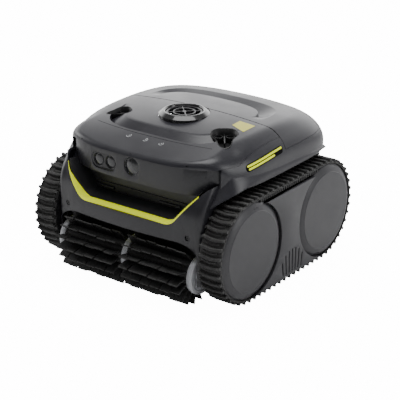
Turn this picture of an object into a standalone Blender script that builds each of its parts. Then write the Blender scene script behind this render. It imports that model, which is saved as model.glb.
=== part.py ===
"""Tracked robotic pool cleaner with a front brush roller, modelled as an assembly.

Metres, +Z up. The front faces -Y and the machine is symmetric about X = 0. The origin lies
on the floor, under the middle of the overall length and width.
"""
import bmesh
import bpy
from math import atan2, cos, degrees, pi, radians, sin
from mathutils import Euler, Matrix, Vector

# ---- general clearances -------------------------------------------------------------------
GAP = 0.0003                # between pieces that touch
RUN = 0.0015                # between a moving piece and its surroundings
WALL = 0.003                # moulded covers and shells

# ---- tracks and wheels --------------------------------------------------------------------
WHEEL_RADIUS = 0.088
BELT_THICKNESS = 0.0022
LUG_HEIGHT = 0.006
LUG_COUNT = 66
LUG_WIDTH = 0.0060
WHEELBASE = 0.2333
TRACK_SHIFT = 0.0115        # middle of the wheelbase, behind the origin
TRACK_OUTER_X = 0.2135
TRACK_WIDTH = 0.0505
COVER_DEPTH = 0.0075        # round cap on the outside of each wheel
AXLE_RADIUS = 0.006
SIDE_PLATE_RIBS = 6

# ---- brush roller -------------------------------------------------------------------------
BRUSH_RADIUS = 0.0590
BRUSH_Z = 0.0600
ARM_THICKNESS = 0.005       # chassis arms at the brush roller's ends
BRUSH_CORE_RADIUS = 0.030
BRUSH_FINS = 16
FIN_WIDTH = 0.0022
ROLLER_DISC_RADIUS = 0.0360
ROLLER_DISC_WIDTH = 0.012
SHAFT_RADIUS = 0.0055

# ---- body form ----------------------------------------------------------------------------
BODY_HALF_WIDTH = 0.194
BODY_SETBACK = 0.0225         # front of the body, behind the bumper
BODY_REAR_Y = 0.205
BODY_SQUARENESS = 3.65      # exponent of the superellipse that the body has in plan, in front
REAR_SQUARENESS = 5.0       # the same behind the middle
FENDER_SQUARENESS = 6.0     # the same for the ledge over the tracks
FENDER_HALF_WIDTH = 0.1965
FENDER_THICKNESS = 0.0065
FENDER_Z = 0.1985           # underside of the ledge over the tracks
ROOF_Z = 0.286
ROOF_CREST_Y = 0.020
SIDE_CROWN = 0.34
FRONT_CROWN = 0.90
FRONT_EASE = 0.60           # how much less the front falls at the sides
REAR_CROWN = 0.60
SHOULDER_RADIUS = 0.045
LIP_RADIUS = 0.008
LIP_Z = 0.2465              # lower edge of the top cover's front lip
COVER_HALF_WIDTH = 0.178
LID_EDGE_Z = 0.2435
SEAM_Y = 0.0195
SIDE_SEAM_X = 0.118         # where the side shells meet the rear panel
FRONT_SEAM_SETBACK = 0.050    # front ends of the side shells, behind the body's front
CHARGE_HALF_WIDTH = 0.024   # opening for the charging socket
CHARGE_LOW_Z = 0.208
CHARGE_HIGH_Z = 0.232

# ---- front --------------------------------------------------------------------------------
FASCIA_SETBACK = 0.005
FASCIA_LOW_Z = 0.1985
BUMPER_REACH = 0.03435        # front of the bumper, ahead of the brush shaft
BUMPER_WALL = 0.004
BUMPER_ARCH_Z = 0.121
BUMPER_FOOT_Z = 0.046
FOOT_WIDTH = 0.009
TRIM_DEPTH = 0.024
TRIM_THICKNESS = 0.004
TRIM_LOW_Z = 0.149
TRIM_BEND_X = 0.100
TRIM_TIP_X = 0.146
TRIM_TIP_Z = 0.202
RECESS_DEPTH = 0.0545         # back of the recess, behind the bumper
EYE_X = -0.065
EYE_Z = 0.2215
EYE_SPACING = 0.027
EYE_RADIUS = 0.0108
CENTRE_SENSOR_RADIUS = 0.0165
CENTRE_SENSOR_Z = 0.2265

# ---- top ----------------------------------------------------------------------------------
OUTLET_Y = -0.0215
OUTLET_RADIUS = 0.0465
OUTLET_THROAT = 0.0335
COLLAR_HEIGHT = 0.006
PORT_X = 0.113
PORT_Y = -0.052
PORT_HALF_WIDTH = 0.024
PORT_HALF_LENGTH = 0.031
STRIP_Y = -0.038
STRIP_LENGTH = 0.104
STRIP_HEIGHT = 0.0135
STRIP_TILT = 22.0

# ---- chassis and insides ------------------------------------------------------------------
BRUSH_ROOM = 0.00715          # between the brush and the tub behind it
CHASSIS_REAR_Y = 0.190
CHASSIS_LOW_Z = 0.026
CHASSIS_WALL = 0.004
INLET_HALF_WIDTH = 0.095
INLET_SETBACK = 0.022         # front edge of the inlet, behind the tub's front
INLET_LENGTH = 0.042
BASKET_HALF_WIDTH = 0.105
BASKET_FRONT_Y = 0.034
BASKET_REAR_Y = 0.165
BASKET_LOW_Z = 0.118
BASKET_HIGH_Z = 0.236
LID_PIN_RADIUS = 0.0022

# ---- derived places -----------------------------------------------------------------------
BELT_INNER_RADIUS = WHEEL_RADIUS + GAP + 0.0005
BELT_RADIUS = BELT_INNER_RADIUS + BELT_THICKNESS
TRACK_RADIUS = BELT_RADIUS + LUG_HEIGHT
WHEEL_Z = TRACK_RADIUS
FRONT_WHEEL_Y = TRACK_SHIFT - WHEELBASE / 2
REAR_WHEEL_Y = TRACK_SHIFT + WHEELBASE / 2
TRACK_INNER_X = TRACK_OUTER_X - TRACK_WIDTH
BUMPER_HALF_WIDTH = TRACK_INNER_X - 0.0008
CHASSIS_HALF_WIDTH = BUMPER_HALF_WIDTH - BUMPER_WALL - 0.0008
FASCIA_HALF_WIDTH = CHASSIS_HALF_WIDTH + BUMPER_WALL + 0.0008
BRUSH_HALF_LENGTH = CHASSIS_HALF_WIDTH - ARM_THICKNESS - RUN
BRUSH_Y = BRUSH_RADIUS - (REAR_WHEEL_Y + TRACK_RADIUS)
BUMPER_FRONT_Y = BRUSH_Y - BUMPER_REACH
CHASSIS_FRONT_Y = BRUSH_Y + BRUSH_RADIUS + BRUSH_ROOM
INLET_FRONT_Y = CHASSIS_FRONT_Y + INLET_SETBACK
INLET_REAR_Y = INLET_FRONT_Y + INLET_LENGTH
RECESS_BACK_Y = BUMPER_FRONT_Y + RECESS_DEPTH
BODY_FRONT_Y = BUMPER_FRONT_Y + BODY_SETBACK
FRONT_SEAM_Y = BODY_FRONT_Y + FRONT_SEAM_SETBACK
BODY_MID_Y = (BODY_FRONT_Y + BODY_REAR_Y) / 2
BODY_HALF_LENGTH = (BODY_REAR_Y - BODY_FRONT_Y) / 2

for item in list(bpy.data.objects):
    bpy.data.objects.remove(item)

PARTS = bpy.data.collections.new("pool_cleaner")
CUTTERS = bpy.data.collections.new("cutters")
bpy.context.scene.collection.children.link(PARTS)
bpy.context.scene.collection.children.link(CUTTERS)


def finish(name, colour, roughness, metallic=0.0):
    """Make one Principled material."""
    material = bpy.data.materials.new(name)
    material.use_nodes = True
    shader = material.node_tree.nodes["Principled BSDF"]
    shader.inputs["Base Color"].default_value = (*colour, 1.0)
    shader.inputs["Roughness"].default_value = roughness
    shader.inputs["Metallic"].default_value = metallic
    return material


SHELL_GREY = finish("shell_grey", (0.075, 0.077, 0.085), 0.38)
PANEL_GREY = finish("panel_grey", (0.050, 0.052, 0.058), 0.42)
DISC_GREY = finish("disc_grey", (0.105, 0.110, 0.118), 0.40)
CHASSIS_BLACK = finish("chassis_black", (0.022, 0.022, 0.024), 0.50)
GLOSS_BLACK = finish("gloss_black", (0.010, 0.010, 0.011), 0.15)
RUBBER_BLACK = finish("rubber_black", (0.018, 0.018, 0.019), 0.70)
LIME = finish("lime", (0.700, 0.780, 0.020), 0.35)
ROLLER_GREY = finish("roller_grey", (0.560, 0.570, 0.590), 0.45)
STEEL = finish("steel", (0.600, 0.600, 0.610), 0.28, 1.0)
BATTERY_GREY = finish("battery_grey", (0.180, 0.190, 0.210), 0.55)
BASKET_GREY = finish("basket_grey", (0.300, 0.310, 0.330), 0.50)


# ---- modelling helpers --------------------------------------------------------------------
def place(name, mesh, material, smooth=30.0):
    """Put a mesh in the parts collection under its node's name."""
    mesh.name = name
    mesh.materials.clear()
    mesh.materials.append(material)
    mesh.shade_smooth()
    mesh.set_sharp_from_angle(angle=radians(smooth))
    piece = bpy.data.objects.new(name, mesh)
    PARTS.objects.link(piece)
    return piece


def guide(piece):
    """Move an object to the cutters, where it is kept but not built."""
    for owner in list(piece.users_collection):
        owner.objects.unlink(piece)
    CUTTERS.objects.link(piece)
    piece.hide_render = True
    piece.display_type = 'WIRE'
    return piece


def boolean(piece, tool, operation):
    """Add one Boolean modifier and keep its tool as a guide."""
    step = piece.modifiers.new(operation.lower(), 'BOOLEAN')
    step.operation = operation
    step.solver = 'EXACT'
    step.object = guide(tool)
    return piece


def cut(piece, *tools):
    for tool in tools:
        boolean(piece, tool, 'DIFFERENCE')
    return piece


def join(piece, *tools):
    for tool in tools:
        boolean(piece, tool, 'UNION')
    return piece


def keep_inside(piece, tool):
    return boolean(piece, tool, 'INTERSECT')


def box(name, low, high, material=CHASSIS_BLACK, bevel=0.0):
    """Make a box between two corners."""
    size = Vector(high) - Vector(low)
    centre = (Vector(high) + Vector(low)) / 2
    work = bmesh.new()
    bmesh.ops.create_cube(work, size=1.0, matrix=Matrix.Translation(centre) @ Matrix.Diagonal((*size, 1.0)))
    if bevel:
        bmesh.ops.bevel(work, geom=list(work.edges), offset=bevel, segments=2, profile=0.5, affect='EDGES')
    mesh = bpy.data.meshes.new(name)
    work.to_mesh(mesh)
    work.free()
    return place(name, mesh, material)


TURN_TO_AXIS = {
    "-y": Euler((radians(90.0), 0.0, 0.0)),
    "x": Euler((0.0, radians(90.0), 0.0)),
    "y": Euler((radians(-90.0), 0.0, 0.0)),
    "z": Euler((0.0, 0.0, 0.0)),
}


def rod(name, radius, centre, length, axis="x", material=STEEL, sides=16):
    """Make a round rod whose middle is at centre."""
    work = bmesh.new()
    bmesh.ops.create_cone(work, cap_ends=True, segments=sides, radius1=radius, radius2=radius, depth=length)
    mesh = bpy.data.meshes.new(name)
    work.to_mesh(mesh)
    work.free()
    piece = place(name, mesh, material)
    piece.rotation_euler = TURN_TO_AXIS[axis]
    piece.location = centre
    return piece


def turned(name, profile, centre, axis="x", material=DISC_GREY, sides=36, side=1):
    """Turn a profile of (radius, height) points, listed from the top down its outer side.

    A profile that starts or ends away from the axis is closed, which makes a ring.
    """
    mesh = bpy.data.meshes.new(name)
    points = [(radius, 0.0, height) for radius, height in profile]
    links = [(i, i + 1) for i in range(len(points) - 1)]
    if profile[0][0] > 0.0:
        links.append((len(points) - 1, 0))
    mesh.from_pydata(points, links, [])
    piece = place(name, mesh, material)
    screw = piece.modifiers.new("turn", 'SCREW')
    screw.steps = sides
    screw.render_steps = sides
    screw.use_merge_vertices = True
    screw.merge_threshold = 0.00001
    screw.use_smooth_shade = True
    turn = TURN_TO_AXIS[axis].copy()
    if side < 0:
        turn = (Euler((0.0, 0.0, radians(180.0))).to_matrix() @ turn.to_matrix()).to_euler()
    piece.rotation_euler = turn
    piece.location = centre
    return piece


AXIS_FRAMES = {
    "x": Matrix(((0, 0, 1), (1, 0, 0), (0, 1, 0))),
    "y": Matrix(((1, 0, 0), (0, 0, -1), (0, 1, 0))),
    "z": Matrix(((1, 0, 0), (0, 1, 0), (0, 0, 1))),
}


def flat(name, loops, low, high, axis="x", material=CHASSIS_BLACK):
    """Extrude a flat outline, with any holes, between two places along an axis.

    The outline's two coordinates are (y, z) along x, (x, z) along y, and (x, y) along z.
    """
    curve = bpy.data.curves.new(name, 'CURVE')
    curve.dimensions = '2D'
    curve.fill_mode = 'BOTH'
    curve.extrude = (high - low) / 2
    for loop in loops:
        spline = curve.splines.new('POLY')
        spline.points.add(len(loop) - 1)
        for point, (u, v) in zip(spline.points, loop):
            point.co = (u, v, 0.0, 1.0)
        spline.use_cyclic_u = True
    shape = bpy.data.objects.new(name + "_outline", curve)
    CUTTERS.objects.link(shape)
    depsgraph = bpy.context.evaluated_depsgraph_get()
    mesh = bpy.data.meshes.new_from_object(shape.evaluated_get(depsgraph))
    bpy.data.objects.remove(shape)
    work = bmesh.new()
    work.from_mesh(mesh)
    bmesh.ops.remove_doubles(work, verts=work.verts, dist=0.00002)
    middle = (high + low) / 2
    frame = AXIS_FRAMES[axis].to_4x4()
    sign = -1.0 if axis == "y" else 1.0
    bmesh.ops.transform(work, matrix=frame @ Matrix.Translation((0, 0, sign * middle)), verts=work.verts)
    bmesh.ops.recalc_face_normals(work, faces=work.faces)
    work.to_mesh(mesh)
    work.free()
    return place(name, mesh, material)


def circle(radius, centre=(0.0, 0.0), count=32, start=0.0):
    """List the points of a circle."""
    return [(centre[0] + radius * cos(start + 2 * pi * i / count),
             centre[1] + radius * sin(start + 2 * pi * i / count)) for i in range(count)]


def pill(length, height, count=8):
    """List the points of a bar with round ends, lengthwise along the first coordinate."""
    radius = height / 2
    reach = length / 2 - radius
    points = []
    for i in range(count + 1):
        angle = -pi / 2 + pi * i / count
        points.append((reach + radius * cos(angle), radius * sin(angle)))
    for i in range(count + 1):
        angle = pi / 2 + pi * i / count
        points.append((-reach + radius * cos(angle), radius * sin(angle)))
    return points


def smoothstep(low, high, value):
    share = min(max((value - low) / (high - low), 0.0), 1.0)
    return share * share * (3.0 - 2.0 * share)


# ---- body form ----------------------------------------------------------------------------
def crown(x, y):
    """Height of the roof's crown, before its edge is rounded."""
    fall = REAR_CROWN
    if y < ROOF_CREST_Y:
        fall = FRONT_CROWN * (1.0 - FRONT_EASE * (x / BODY_HALF_WIDTH) ** 2)
    return ROOF_Z - SIDE_CROWN * x * x - fall * (y - ROOF_CREST_Y) ** 2


def superellipse(angle, half_width, half_length, squareness):
    """Point of a superellipse in plan, round the middle of the body."""
    power = 2.0 / squareness
    c = cos(angle)
    s = sin(angle)
    x = half_width * abs(c) ** power * (1 if c >= 0 else -1)
    y = half_length * abs(s) ** power * (1 if s >= 0 else -1)
    return x, BODY_MID_Y + y


def plan_point(angle, inset):
    """Point of the body's outline in plan, set in from the outside."""
    squareness = REAR_SQUARENESS if sin(angle) > 0 else BODY_SQUARENESS
    return superellipse(angle, BODY_HALF_WIDTH - inset, BODY_HALF_LENGTH - inset, squareness)


def edge_radius(angle, inset):
    """Radius of the roof's rounded edge: a wide shoulder, and a small lip at the front."""
    x, y = plan_point(angle, 0.0)
    slope_x = abs(x / BODY_HALF_WIDTH) ** (BODY_SQUARENESS - 1) / BODY_HALF_WIDTH
    slope_y = abs((y - BODY_MID_Y) / BODY_HALF_LENGTH) ** (BODY_SQUARENESS - 1) / BODY_HALF_LENGTH
    front = slope_y / (slope_x ** 2 + slope_y ** 2) ** 0.5 if y < BODY_MID_Y else 0.0
    share = smoothstep(0.45, 0.95, front)
    return SHOULDER_RADIUS + (LIP_RADIUS - SHOULDER_RADIUS) * share - min(inset, LIP_RADIUS / 2)


def body_form(name, inset, low_z, sides=44, edge_steps=4, rings=3):
    """Make the body's closed outer form, set in by an inset, down to a flat underside."""
    work = bmesh.new()
    loops = []
    # angles are spread so that the corners get as many points as the long sides
    angles = [2 * pi * (i + 0.5) / sides for i in range(sides)]

    def add_loop(place_of):
        loops.append([work.verts.new(place_of(angle)) for angle in angles])

    def at_edge(turn):
        def place_of(angle):
            radius = edge_radius(angle, inset)
            x, y = plan_point(angle, inset + radius * (1 - cos(turn)))
            return x, y, crown(x, y) - inset - radius * (1 - sin(turn))
        return place_of

    def at_underside(angle):
        return (*plan_point(angle, inset), low_z)

    add_loop(at_underside)
    for step in range(edge_steps + 1):
        add_loop(at_edge(pi / 2 * step / edge_steps))
    for ring in range(1, rings):
        share = 1.0 - ring / rings

        def on_roof(angle):
            radius = edge_radius(angle, inset)
            x, y = plan_point(angle, inset + radius)
            x *= share
            y = ROOF_CREST_Y + (y - ROOF_CREST_Y) * share
            return x, y, crown(x, y) - inset
        add_loop(on_roof)
    for lower, upper in zip(loops, loops[1:]):
        for i in range(sides):
            j = (i + 1) % sides
            work.faces.new((lower[i], lower[j], upper[j], upper[i]))
    top = work.verts.new((0.0, ROOF_CREST_Y, crown(0.0, ROOF_CREST_Y) - inset))
    for i in range(sides):
        work.faces.new((loops[-1][i], loops[-1][(i + 1) % sides], top))
    work.faces.new(list(reversed(loops[0])))
    bmesh.ops.recalc_face_normals(work, faces=work.faces)
    mesh = bpy.data.meshes.new(name)
    work.to_mesh(mesh)
    work.free()
    return place(name, mesh, SHELL_GREY)


FAR = 0.6                   # reach of cutters that pass right through


def shell(name, ledge=False, inset=0.0):
    """Make the hollow body form, open underneath, or with a ledge over each track."""
    piece = body_form(name, inset, FENDER_Z)
    if ledge:
        count = 48
        rim = [superellipse(2 * pi * (i + 0.5) / count, FENDER_HALF_WIDTH, BODY_HALF_LENGTH - 0.004,
                            FENDER_SQUARENESS) for i in range(count)]
        join(piece, flat(name + "_rim", [rim], FENDER_Z - 0.0002, FENDER_Z + FENDER_THICKNESS, "z"))
    floor = FENDER_Z + WALL if ledge else FENDER_Z - 0.02
    cut(piece, body_form(name + "_hollow", inset + WALL, floor))
    return piece


def port_outline(side, grow=0.0):
    """Outline of a side port in plan: round at the back, drawn to a blunt tip in front."""
    points = []
    for i in range(28):
        angle = 2 * pi * i / 28
        narrow = 1.0 - 0.30 * (1 - sin(angle)) / 2
        x = (PORT_HALF_WIDTH + grow) * cos(angle) * narrow
        y = (PORT_HALF_LENGTH + grow) * sin(angle)
        points.append((side * PORT_X + x, PORT_Y + y))
    return points


def strip_frame(side):
    """Place of a side strip: length along Y, thickness along the shoulder's normal."""
    tilt = radians(STRIP_TILT)
    length = Vector((0.0, float(side), 0.0))
    out = Vector((side * cos(tilt), 0.0, sin(tilt)))
    up = out.cross(length)
    frame = Matrix((length, up, out)).transposed().to_4x4()
    radius = SHOULDER_RADIUS
    x = BODY_HALF_WIDTH - radius * (1 - cos(tilt))
    z = crown(BODY_HALF_WIDTH - radius, STRIP_Y) - radius * (1 - sin(tilt))
    frame.translation = Vector((side * x, STRIP_Y, z))
    return frame


def strip_piece(name, side, loops, low, high, material):
    """Extrude an outline in a side strip's own frame."""
    piece = flat(name, loops, low, high, "z", material)
    piece.matrix_world = strip_frame(side)
    return piece


def top_shells():
    """Front top cover and rear filter lid, both cut from the body form."""
    cover = shell("top_cover")
    keep_inside(cover, box("cover_region", (-COVER_HALF_WIDTH, -FAR, LIP_Z), (COVER_HALF_WIDTH, SEAM_Y, 0.4)))
    cut(cover, rod("outlet_hole", OUTLET_RADIUS + GAP, (0, OUTLET_Y, 0.28), 0.2, "z", sides=32))
    for side, word in ((-1, "left"), (1, "right")):
        cut(cover, flat("port_hole_" + word, [port_outline(side, GAP)], 0.2, 0.4, "z"))

    lid = shell("filter_lid")
    keep_inside(lid, box("lid_region", (-FAR, SEAM_Y + 2 * GAP, LID_EDGE_Z), (FAR, FAR, 0.4)))
    cut(lid, rod("outlet_notch", OUTLET_RADIUS + GAP, (0, OUTLET_Y, 0.28), 0.2, "z", sides=32))
    lug_low = LID_EDGE_Z + 0.0004
    join(lid, box("lid_knuckle_web", (-LID_KNUCKLE, BODY_REAR_Y - 0.012, lug_low),
                  (LID_KNUCKLE, LID_PIN_Y, LID_PIN_Z + 0.003)))
    join(lid, rod("lid_knuckle", LID_PIN_RADIUS + 0.0022, (0, LID_PIN_Y, LID_PIN_Z), 2 * LID_KNUCKLE))
    cut(lid, rod("lid_pin_bore", LID_PIN_RADIUS + GAP, (0, LID_PIN_Y, LID_PIN_Z), 0.2))


LID_KNUCKLE = 0.030
LID_PIN_Y = BODY_REAR_Y + 0.0058
LID_PIN_Z = LID_EDGE_Z + 0.0048


def side_shells():
    """Left and right side shells with the ledge over the tracks, and the rear panel."""
    for side, word in ((-1, "left"), (1, "right")):
        piece = shell("side_shell_" + word, ledge=True)
        near = CHASSIS_HALF_WIDTH + BUMPER_WALL + 0.002
        cut(piece, box("tub_room_" + word, (-near, -FAR, 0.1), (near, FAR, FENDER_Z + WALL + 0.001)))
        edge = SIDE_SEAM_X + GAP
        far = side * FAR
        keep_inside(piece, box("side_region_" + word, (min(side * edge, far), -FAR, 0.1),
                               (max(side * edge, far), FAR, 0.4)))
        cut(piece, box("front_room_" + word, (-near, -FAR, 0.1), (near, FRONT_SEAM_Y, 0.4)))
        cut(piece, box("cover_room_" + word, (-COVER_HALF_WIDTH - GAP, -FAR, LIP_Z - GAP),
                       (COVER_HALF_WIDTH + GAP, SEAM_Y + GAP, 0.4)))
        cut(piece, box("lid_room_" + word, (-FAR, SEAM_Y - GAP, LID_EDGE_Z - GAP), (FAR, FAR, 0.4)))
        cut(piece, strip_piece("strip_hole_" + word, side,
                               [pill(STRIP_LENGTH + 2 * GAP, STRIP_HEIGHT + 2 * GAP)], -0.02, 0.02, LIME))

    rear = shell("rear_panel")
    keep_inside(rear, box("rear_region", (-SIDE_SEAM_X, 0.1, FENDER_Z - 0.01), (SIDE_SEAM_X, FAR, LID_EDGE_Z - GAP)))
    inner = LID_KNUCKLE + 0.0006
    for side, word in ((-1, "left"), (1, "right")):
        outer = inner + 0.014
        xs = sorted((side * inner, side * outer))
        join(rear, box("knuckle_foot_" + word, (xs[0], BODY_REAR_Y - WALL - 0.001, LID_EDGE_Z - 0.016),
                       (xs[1], LID_PIN_Y + LID_PIN_RADIUS + 0.0022, LID_EDGE_Z - 0.0012)))
        join(rear, box("knuckle_post_" + word, (xs[0], BODY_REAR_Y + 0.0016, LID_EDGE_Z - 0.006),
                       (xs[1], LID_PIN_Y + LID_PIN_RADIUS + 0.0022, LID_PIN_Z)))
        join(rear, rod("knuckle_" + word, LID_PIN_RADIUS + 0.0022,
                       (side * (inner + outer) / 2, LID_PIN_Y, LID_PIN_Z), outer - inner))
    cut(rear, rod("rear_pin_bore", LID_PIN_RADIUS + GAP, (0, LID_PIN_Y, LID_PIN_Z), 0.2))
    join(rear, box("charging_collar", (-CHARGE_HALF_WIDTH - WALL, BODY_REAR_Y - 0.010, CHARGE_LOW_Z - WALL),
                   (CHARGE_HALF_WIDTH + WALL, BODY_REAR_Y - 0.0028, CHARGE_HIGH_Z + WALL)))
    cut(rear, box("charging_hole", (-CHARGE_HALF_WIDTH - GAP, 0.1, CHARGE_LOW_Z - GAP),
                  (CHARGE_HALF_WIDTH + GAP, FAR, CHARGE_HIGH_Z + GAP)))
    rod("lid_hinge_pin", LID_PIN_RADIUS, (0, LID_PIN_Y, LID_PIN_Z), 2 * (inner + 0.013), "x", STEEL, 16)


def rear_socket():
    """Charging socket behind the rear panel, and the hinged cover that hangs over it."""
    back = BODY_REAR_Y
    socket = box("charging_socket", (-CHARGE_HALF_WIDTH, back - 0.026, CHARGE_LOW_Z),
                 (CHARGE_HALF_WIDTH, back - 0.006, CHARGE_HIGH_Z), CHASSIS_BLACK)
    for x in (-0.010, 0.010):
        cut(socket, rod("contact_hole", 0.004, (x, back - 0.006, (CHARGE_LOW_Z + CHARGE_HIGH_Z) / 2), 0.012, "y"))
    flap = box("charging_cover", (-CHARGE_HALF_WIDTH + 0.0008, back - 0.0052, CHARGE_LOW_Z + 0.0008),
               (CHARGE_HALF_WIDTH - 0.0008, back - 0.0026, CHARGE_HIGH_Z - 0.0012), RUBBER_BLACK)
    join(flap, box("cover_tab", (-0.007, back - 0.004, CHARGE_LOW_Z + 0.0008),
                   (0.007, back + 0.0008, CHARGE_LOW_Z + 0.004)))


# ---- front --------------------------------------------------------------------------------
def front_wrap(name, front_y, half_width, wall, low_z, high_z, bow=0.011, corner=0.012):
    """Curved front wall in plan: bowed across, with round corners and short sides."""
    def line(inset):
        points = []
        half = half_width - inset
        y_end = RECESS_BACK_Y
        side_y = front_y + bow + corner
        points.append((half, y_end))
        steps = 6
        radius = corner - inset
        for i in range(steps + 1):
            angle = pi / 2 * i / steps
            points.append((half - radius * (1 - cos(angle)), side_y - radius * sin(angle)))
        span = half_width - corner
        for i in range(1, 8):
            x = span * (1 - i / 4.0)
            points.append((x, front_y + inset + bow * (x / span) ** 2))
        left = [(-x, y) for x, y in reversed(points[:steps + 2])]
        return points + left
    outer = line(0.0)
    inner = line(wall)
    return flat(name, [outer + inner[::-1]], low_z, high_z, "z", SHELL_GREY)


def trim_line(offset):
    """Right half of the accent's outline, from the middle to the tip, offset outwards."""
    slope = atan2(TRIM_TIP_Z - TRIM_LOW_Z - 0.004, TRIM_TIP_X - TRIM_BEND_X - 0.004)
    bend = 0.016 + offset
    points = []
    for i in range(6):
        angle = slope * i / 5
        points.append((TRIM_BEND_X - 0.008 + bend * sin(angle), TRIM_LOW_Z + 0.016 - bend * cos(angle)))
    run_x = TRIM_TIP_X - TRIM_BEND_X
    points.append((points[-1][0] + run_x * 0.92, points[-1][1] + run_x * 0.92 * sin(slope) / cos(slope)))
    return points


def mirrored(points):
    """Close a right half into a full outline, left half first."""
    return [(-x, z) for x, z in reversed(points)] + points


def bumper_outline():
    """Front view of the bumper: under the accent, over the brush arch, down to two feet."""
    top = trim_line(GAP)
    corner = [(BUMPER_HALF_WIDTH + 0.010, 0.200), (BUMPER_HALF_WIDTH + 0.010, 0.165)]
    foot = [(BUMPER_HALF_WIDTH + 0.001, BUMPER_FOOT_Z + 0.01), (BUMPER_HALF_WIDTH - 0.002, BUMPER_FOOT_Z)]
    side = BUMPER_HALF_WIDTH - FOOT_WIDTH
    spring_z = BUMPER_ARCH_Z - 0.024
    arch = [(side, BUMPER_FOOT_Z)]
    for i in range(7):
        angle = pi / 2 * i / 6
        arch.append((side - 0.036 * (1 - cos(angle)), spring_z + (BUMPER_ARCH_Z - spring_z) * sin(angle)))
    right = corner + foot + arch
    loop = mirrored(top)
    loop += right
    loop += [(-x, z) for x, z in reversed(right)]
    return loop


def front_end():
    """Bumper, accent trim, recess liner, fascia and its sensors."""
    wide = BUMPER_HALF_WIDTH
    bumper = flat("front_bumper", [bumper_outline()], -FAR, -RECESS_BACK_Y - 0.3, "y", SHELL_GREY)
    keep_inside(bumper, front_wrap("bumper_wrap", BUMPER_FRONT_Y, wide, BUMPER_WALL, 0.0, 0.3))
    for side, word in ((-1, "left"), (1, "right")):
        spot = (side * 0.1345, BUMPER_FRONT_Y + 0.0082, 0.1325)
        cut(bumper, rod("bumper_screw_hole_" + word, 0.0042, spot, 0.05, "y", sides=20))
        rod("bumper_screw_" + word, 0.0039, (spot[0], spot[1] + 0.0025, spot[2]), 0.008, "y", STEEL, 16)

    trim_loop = mirrored(trim_line(0.0)) + mirrored(trim_line(-TRIM_THICKNESS))[::-1]
    trim = flat("accent_trim", [trim_loop], BUMPER_FRONT_Y - 0.01, BUMPER_FRONT_Y + 0.05, "y", LIME)
    keep_inside(trim, front_wrap("trim_wrap", BUMPER_FRONT_Y + 0.0012, wide + 0.01, TRIM_DEPTH, 0.0, 0.3,
                                 corner=0.030))

    liner_top = FASCIA_LOW_Z - GAP
    floor_z = TRIM_LOW_Z + TRIM_THICKNESS + 0.001
    liner = box("recess_liner", (-0.150, RECESS_BACK_Y, floor_z - 0.016), (0.150, RECESS_BACK_Y + 0.003, liner_top),
                PANEL_GREY)
    for x in (-0.085, 0.064):
        join(liner, box("liner_rib", (x - 0.024, RECESS_BACK_Y - 0.003, 0.160), (x + 0.024, RECESS_BACK_Y + 0.001, 0.164)))

    fascia = shell("front_fascia", inset=FASCIA_SETBACK)
    keep_inside(fascia, box("fascia_region", (-FASCIA_HALF_WIDTH, -FAR, FASCIA_LOW_Z),
                            (FASCIA_HALF_WIDTH, FRONT_SEAM_Y - GAP, LIP_Z - GAP)))
    face_y = BODY_FRONT_Y + FASCIA_SETBACK
    bezel_loop = [(EYE_X + u, EYE_Z + v) for u, v in pill(EYE_SPACING + 0.032, 0.030)]
    cut(fascia, flat("bezel_hole", [[(EYE_X + u, EYE_Z + v) for u, v in
                                     pill(EYE_SPACING + 0.032 + 2 * GAP, 0.030 + 2 * GAP)]], -FAR, -0.12, "y"))
    bezel_y = face_y + 0.0045
    left_x = EYE_X - EYE_SPACING / 2
    right_x = EYE_X + EYE_SPACING / 2
    holes = [circle(EYE_RADIUS + GAP, (x, EYE_Z), 24) for x in (left_x, right_x)]
    flat("sensor_bezel", [bezel_loop] + holes, bezel_y, bezel_y + 0.008, "y", PANEL_GREY)
    for x, word in ((left_x, "left"), (right_x, "right")):
        turned("sensor_lens_" + word, [(0.0, 0.0055), (EYE_RADIUS * 0.6, 0.0050), (EYE_RADIUS, 0.0035),
                                       (EYE_RADIUS, -0.0040), (0.0, -0.0040)],
               (x, bezel_y + 0.0045, EYE_Z), "-y", GLOSS_BLACK, 20)
    cut(fascia, rod("centre_sensor_hole", CENTRE_SENSOR_RADIUS + GAP, (0, -0.17, CENTRE_SENSOR_Z), 0.08, "y", sides=28))
    turned("centre_sensor", [(0.0, 0.0030), (CENTRE_SENSOR_RADIUS * 0.7, 0.0025), (CENTRE_SENSOR_RADIUS, 0.0005),
                             (CENTRE_SENSOR_RADIUS, -0.0070), (0.0, -0.0070)],
           (0, face_y + 0.0035, CENTRE_SENSOR_Z), "-y", GLOSS_BLACK, 24)


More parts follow.
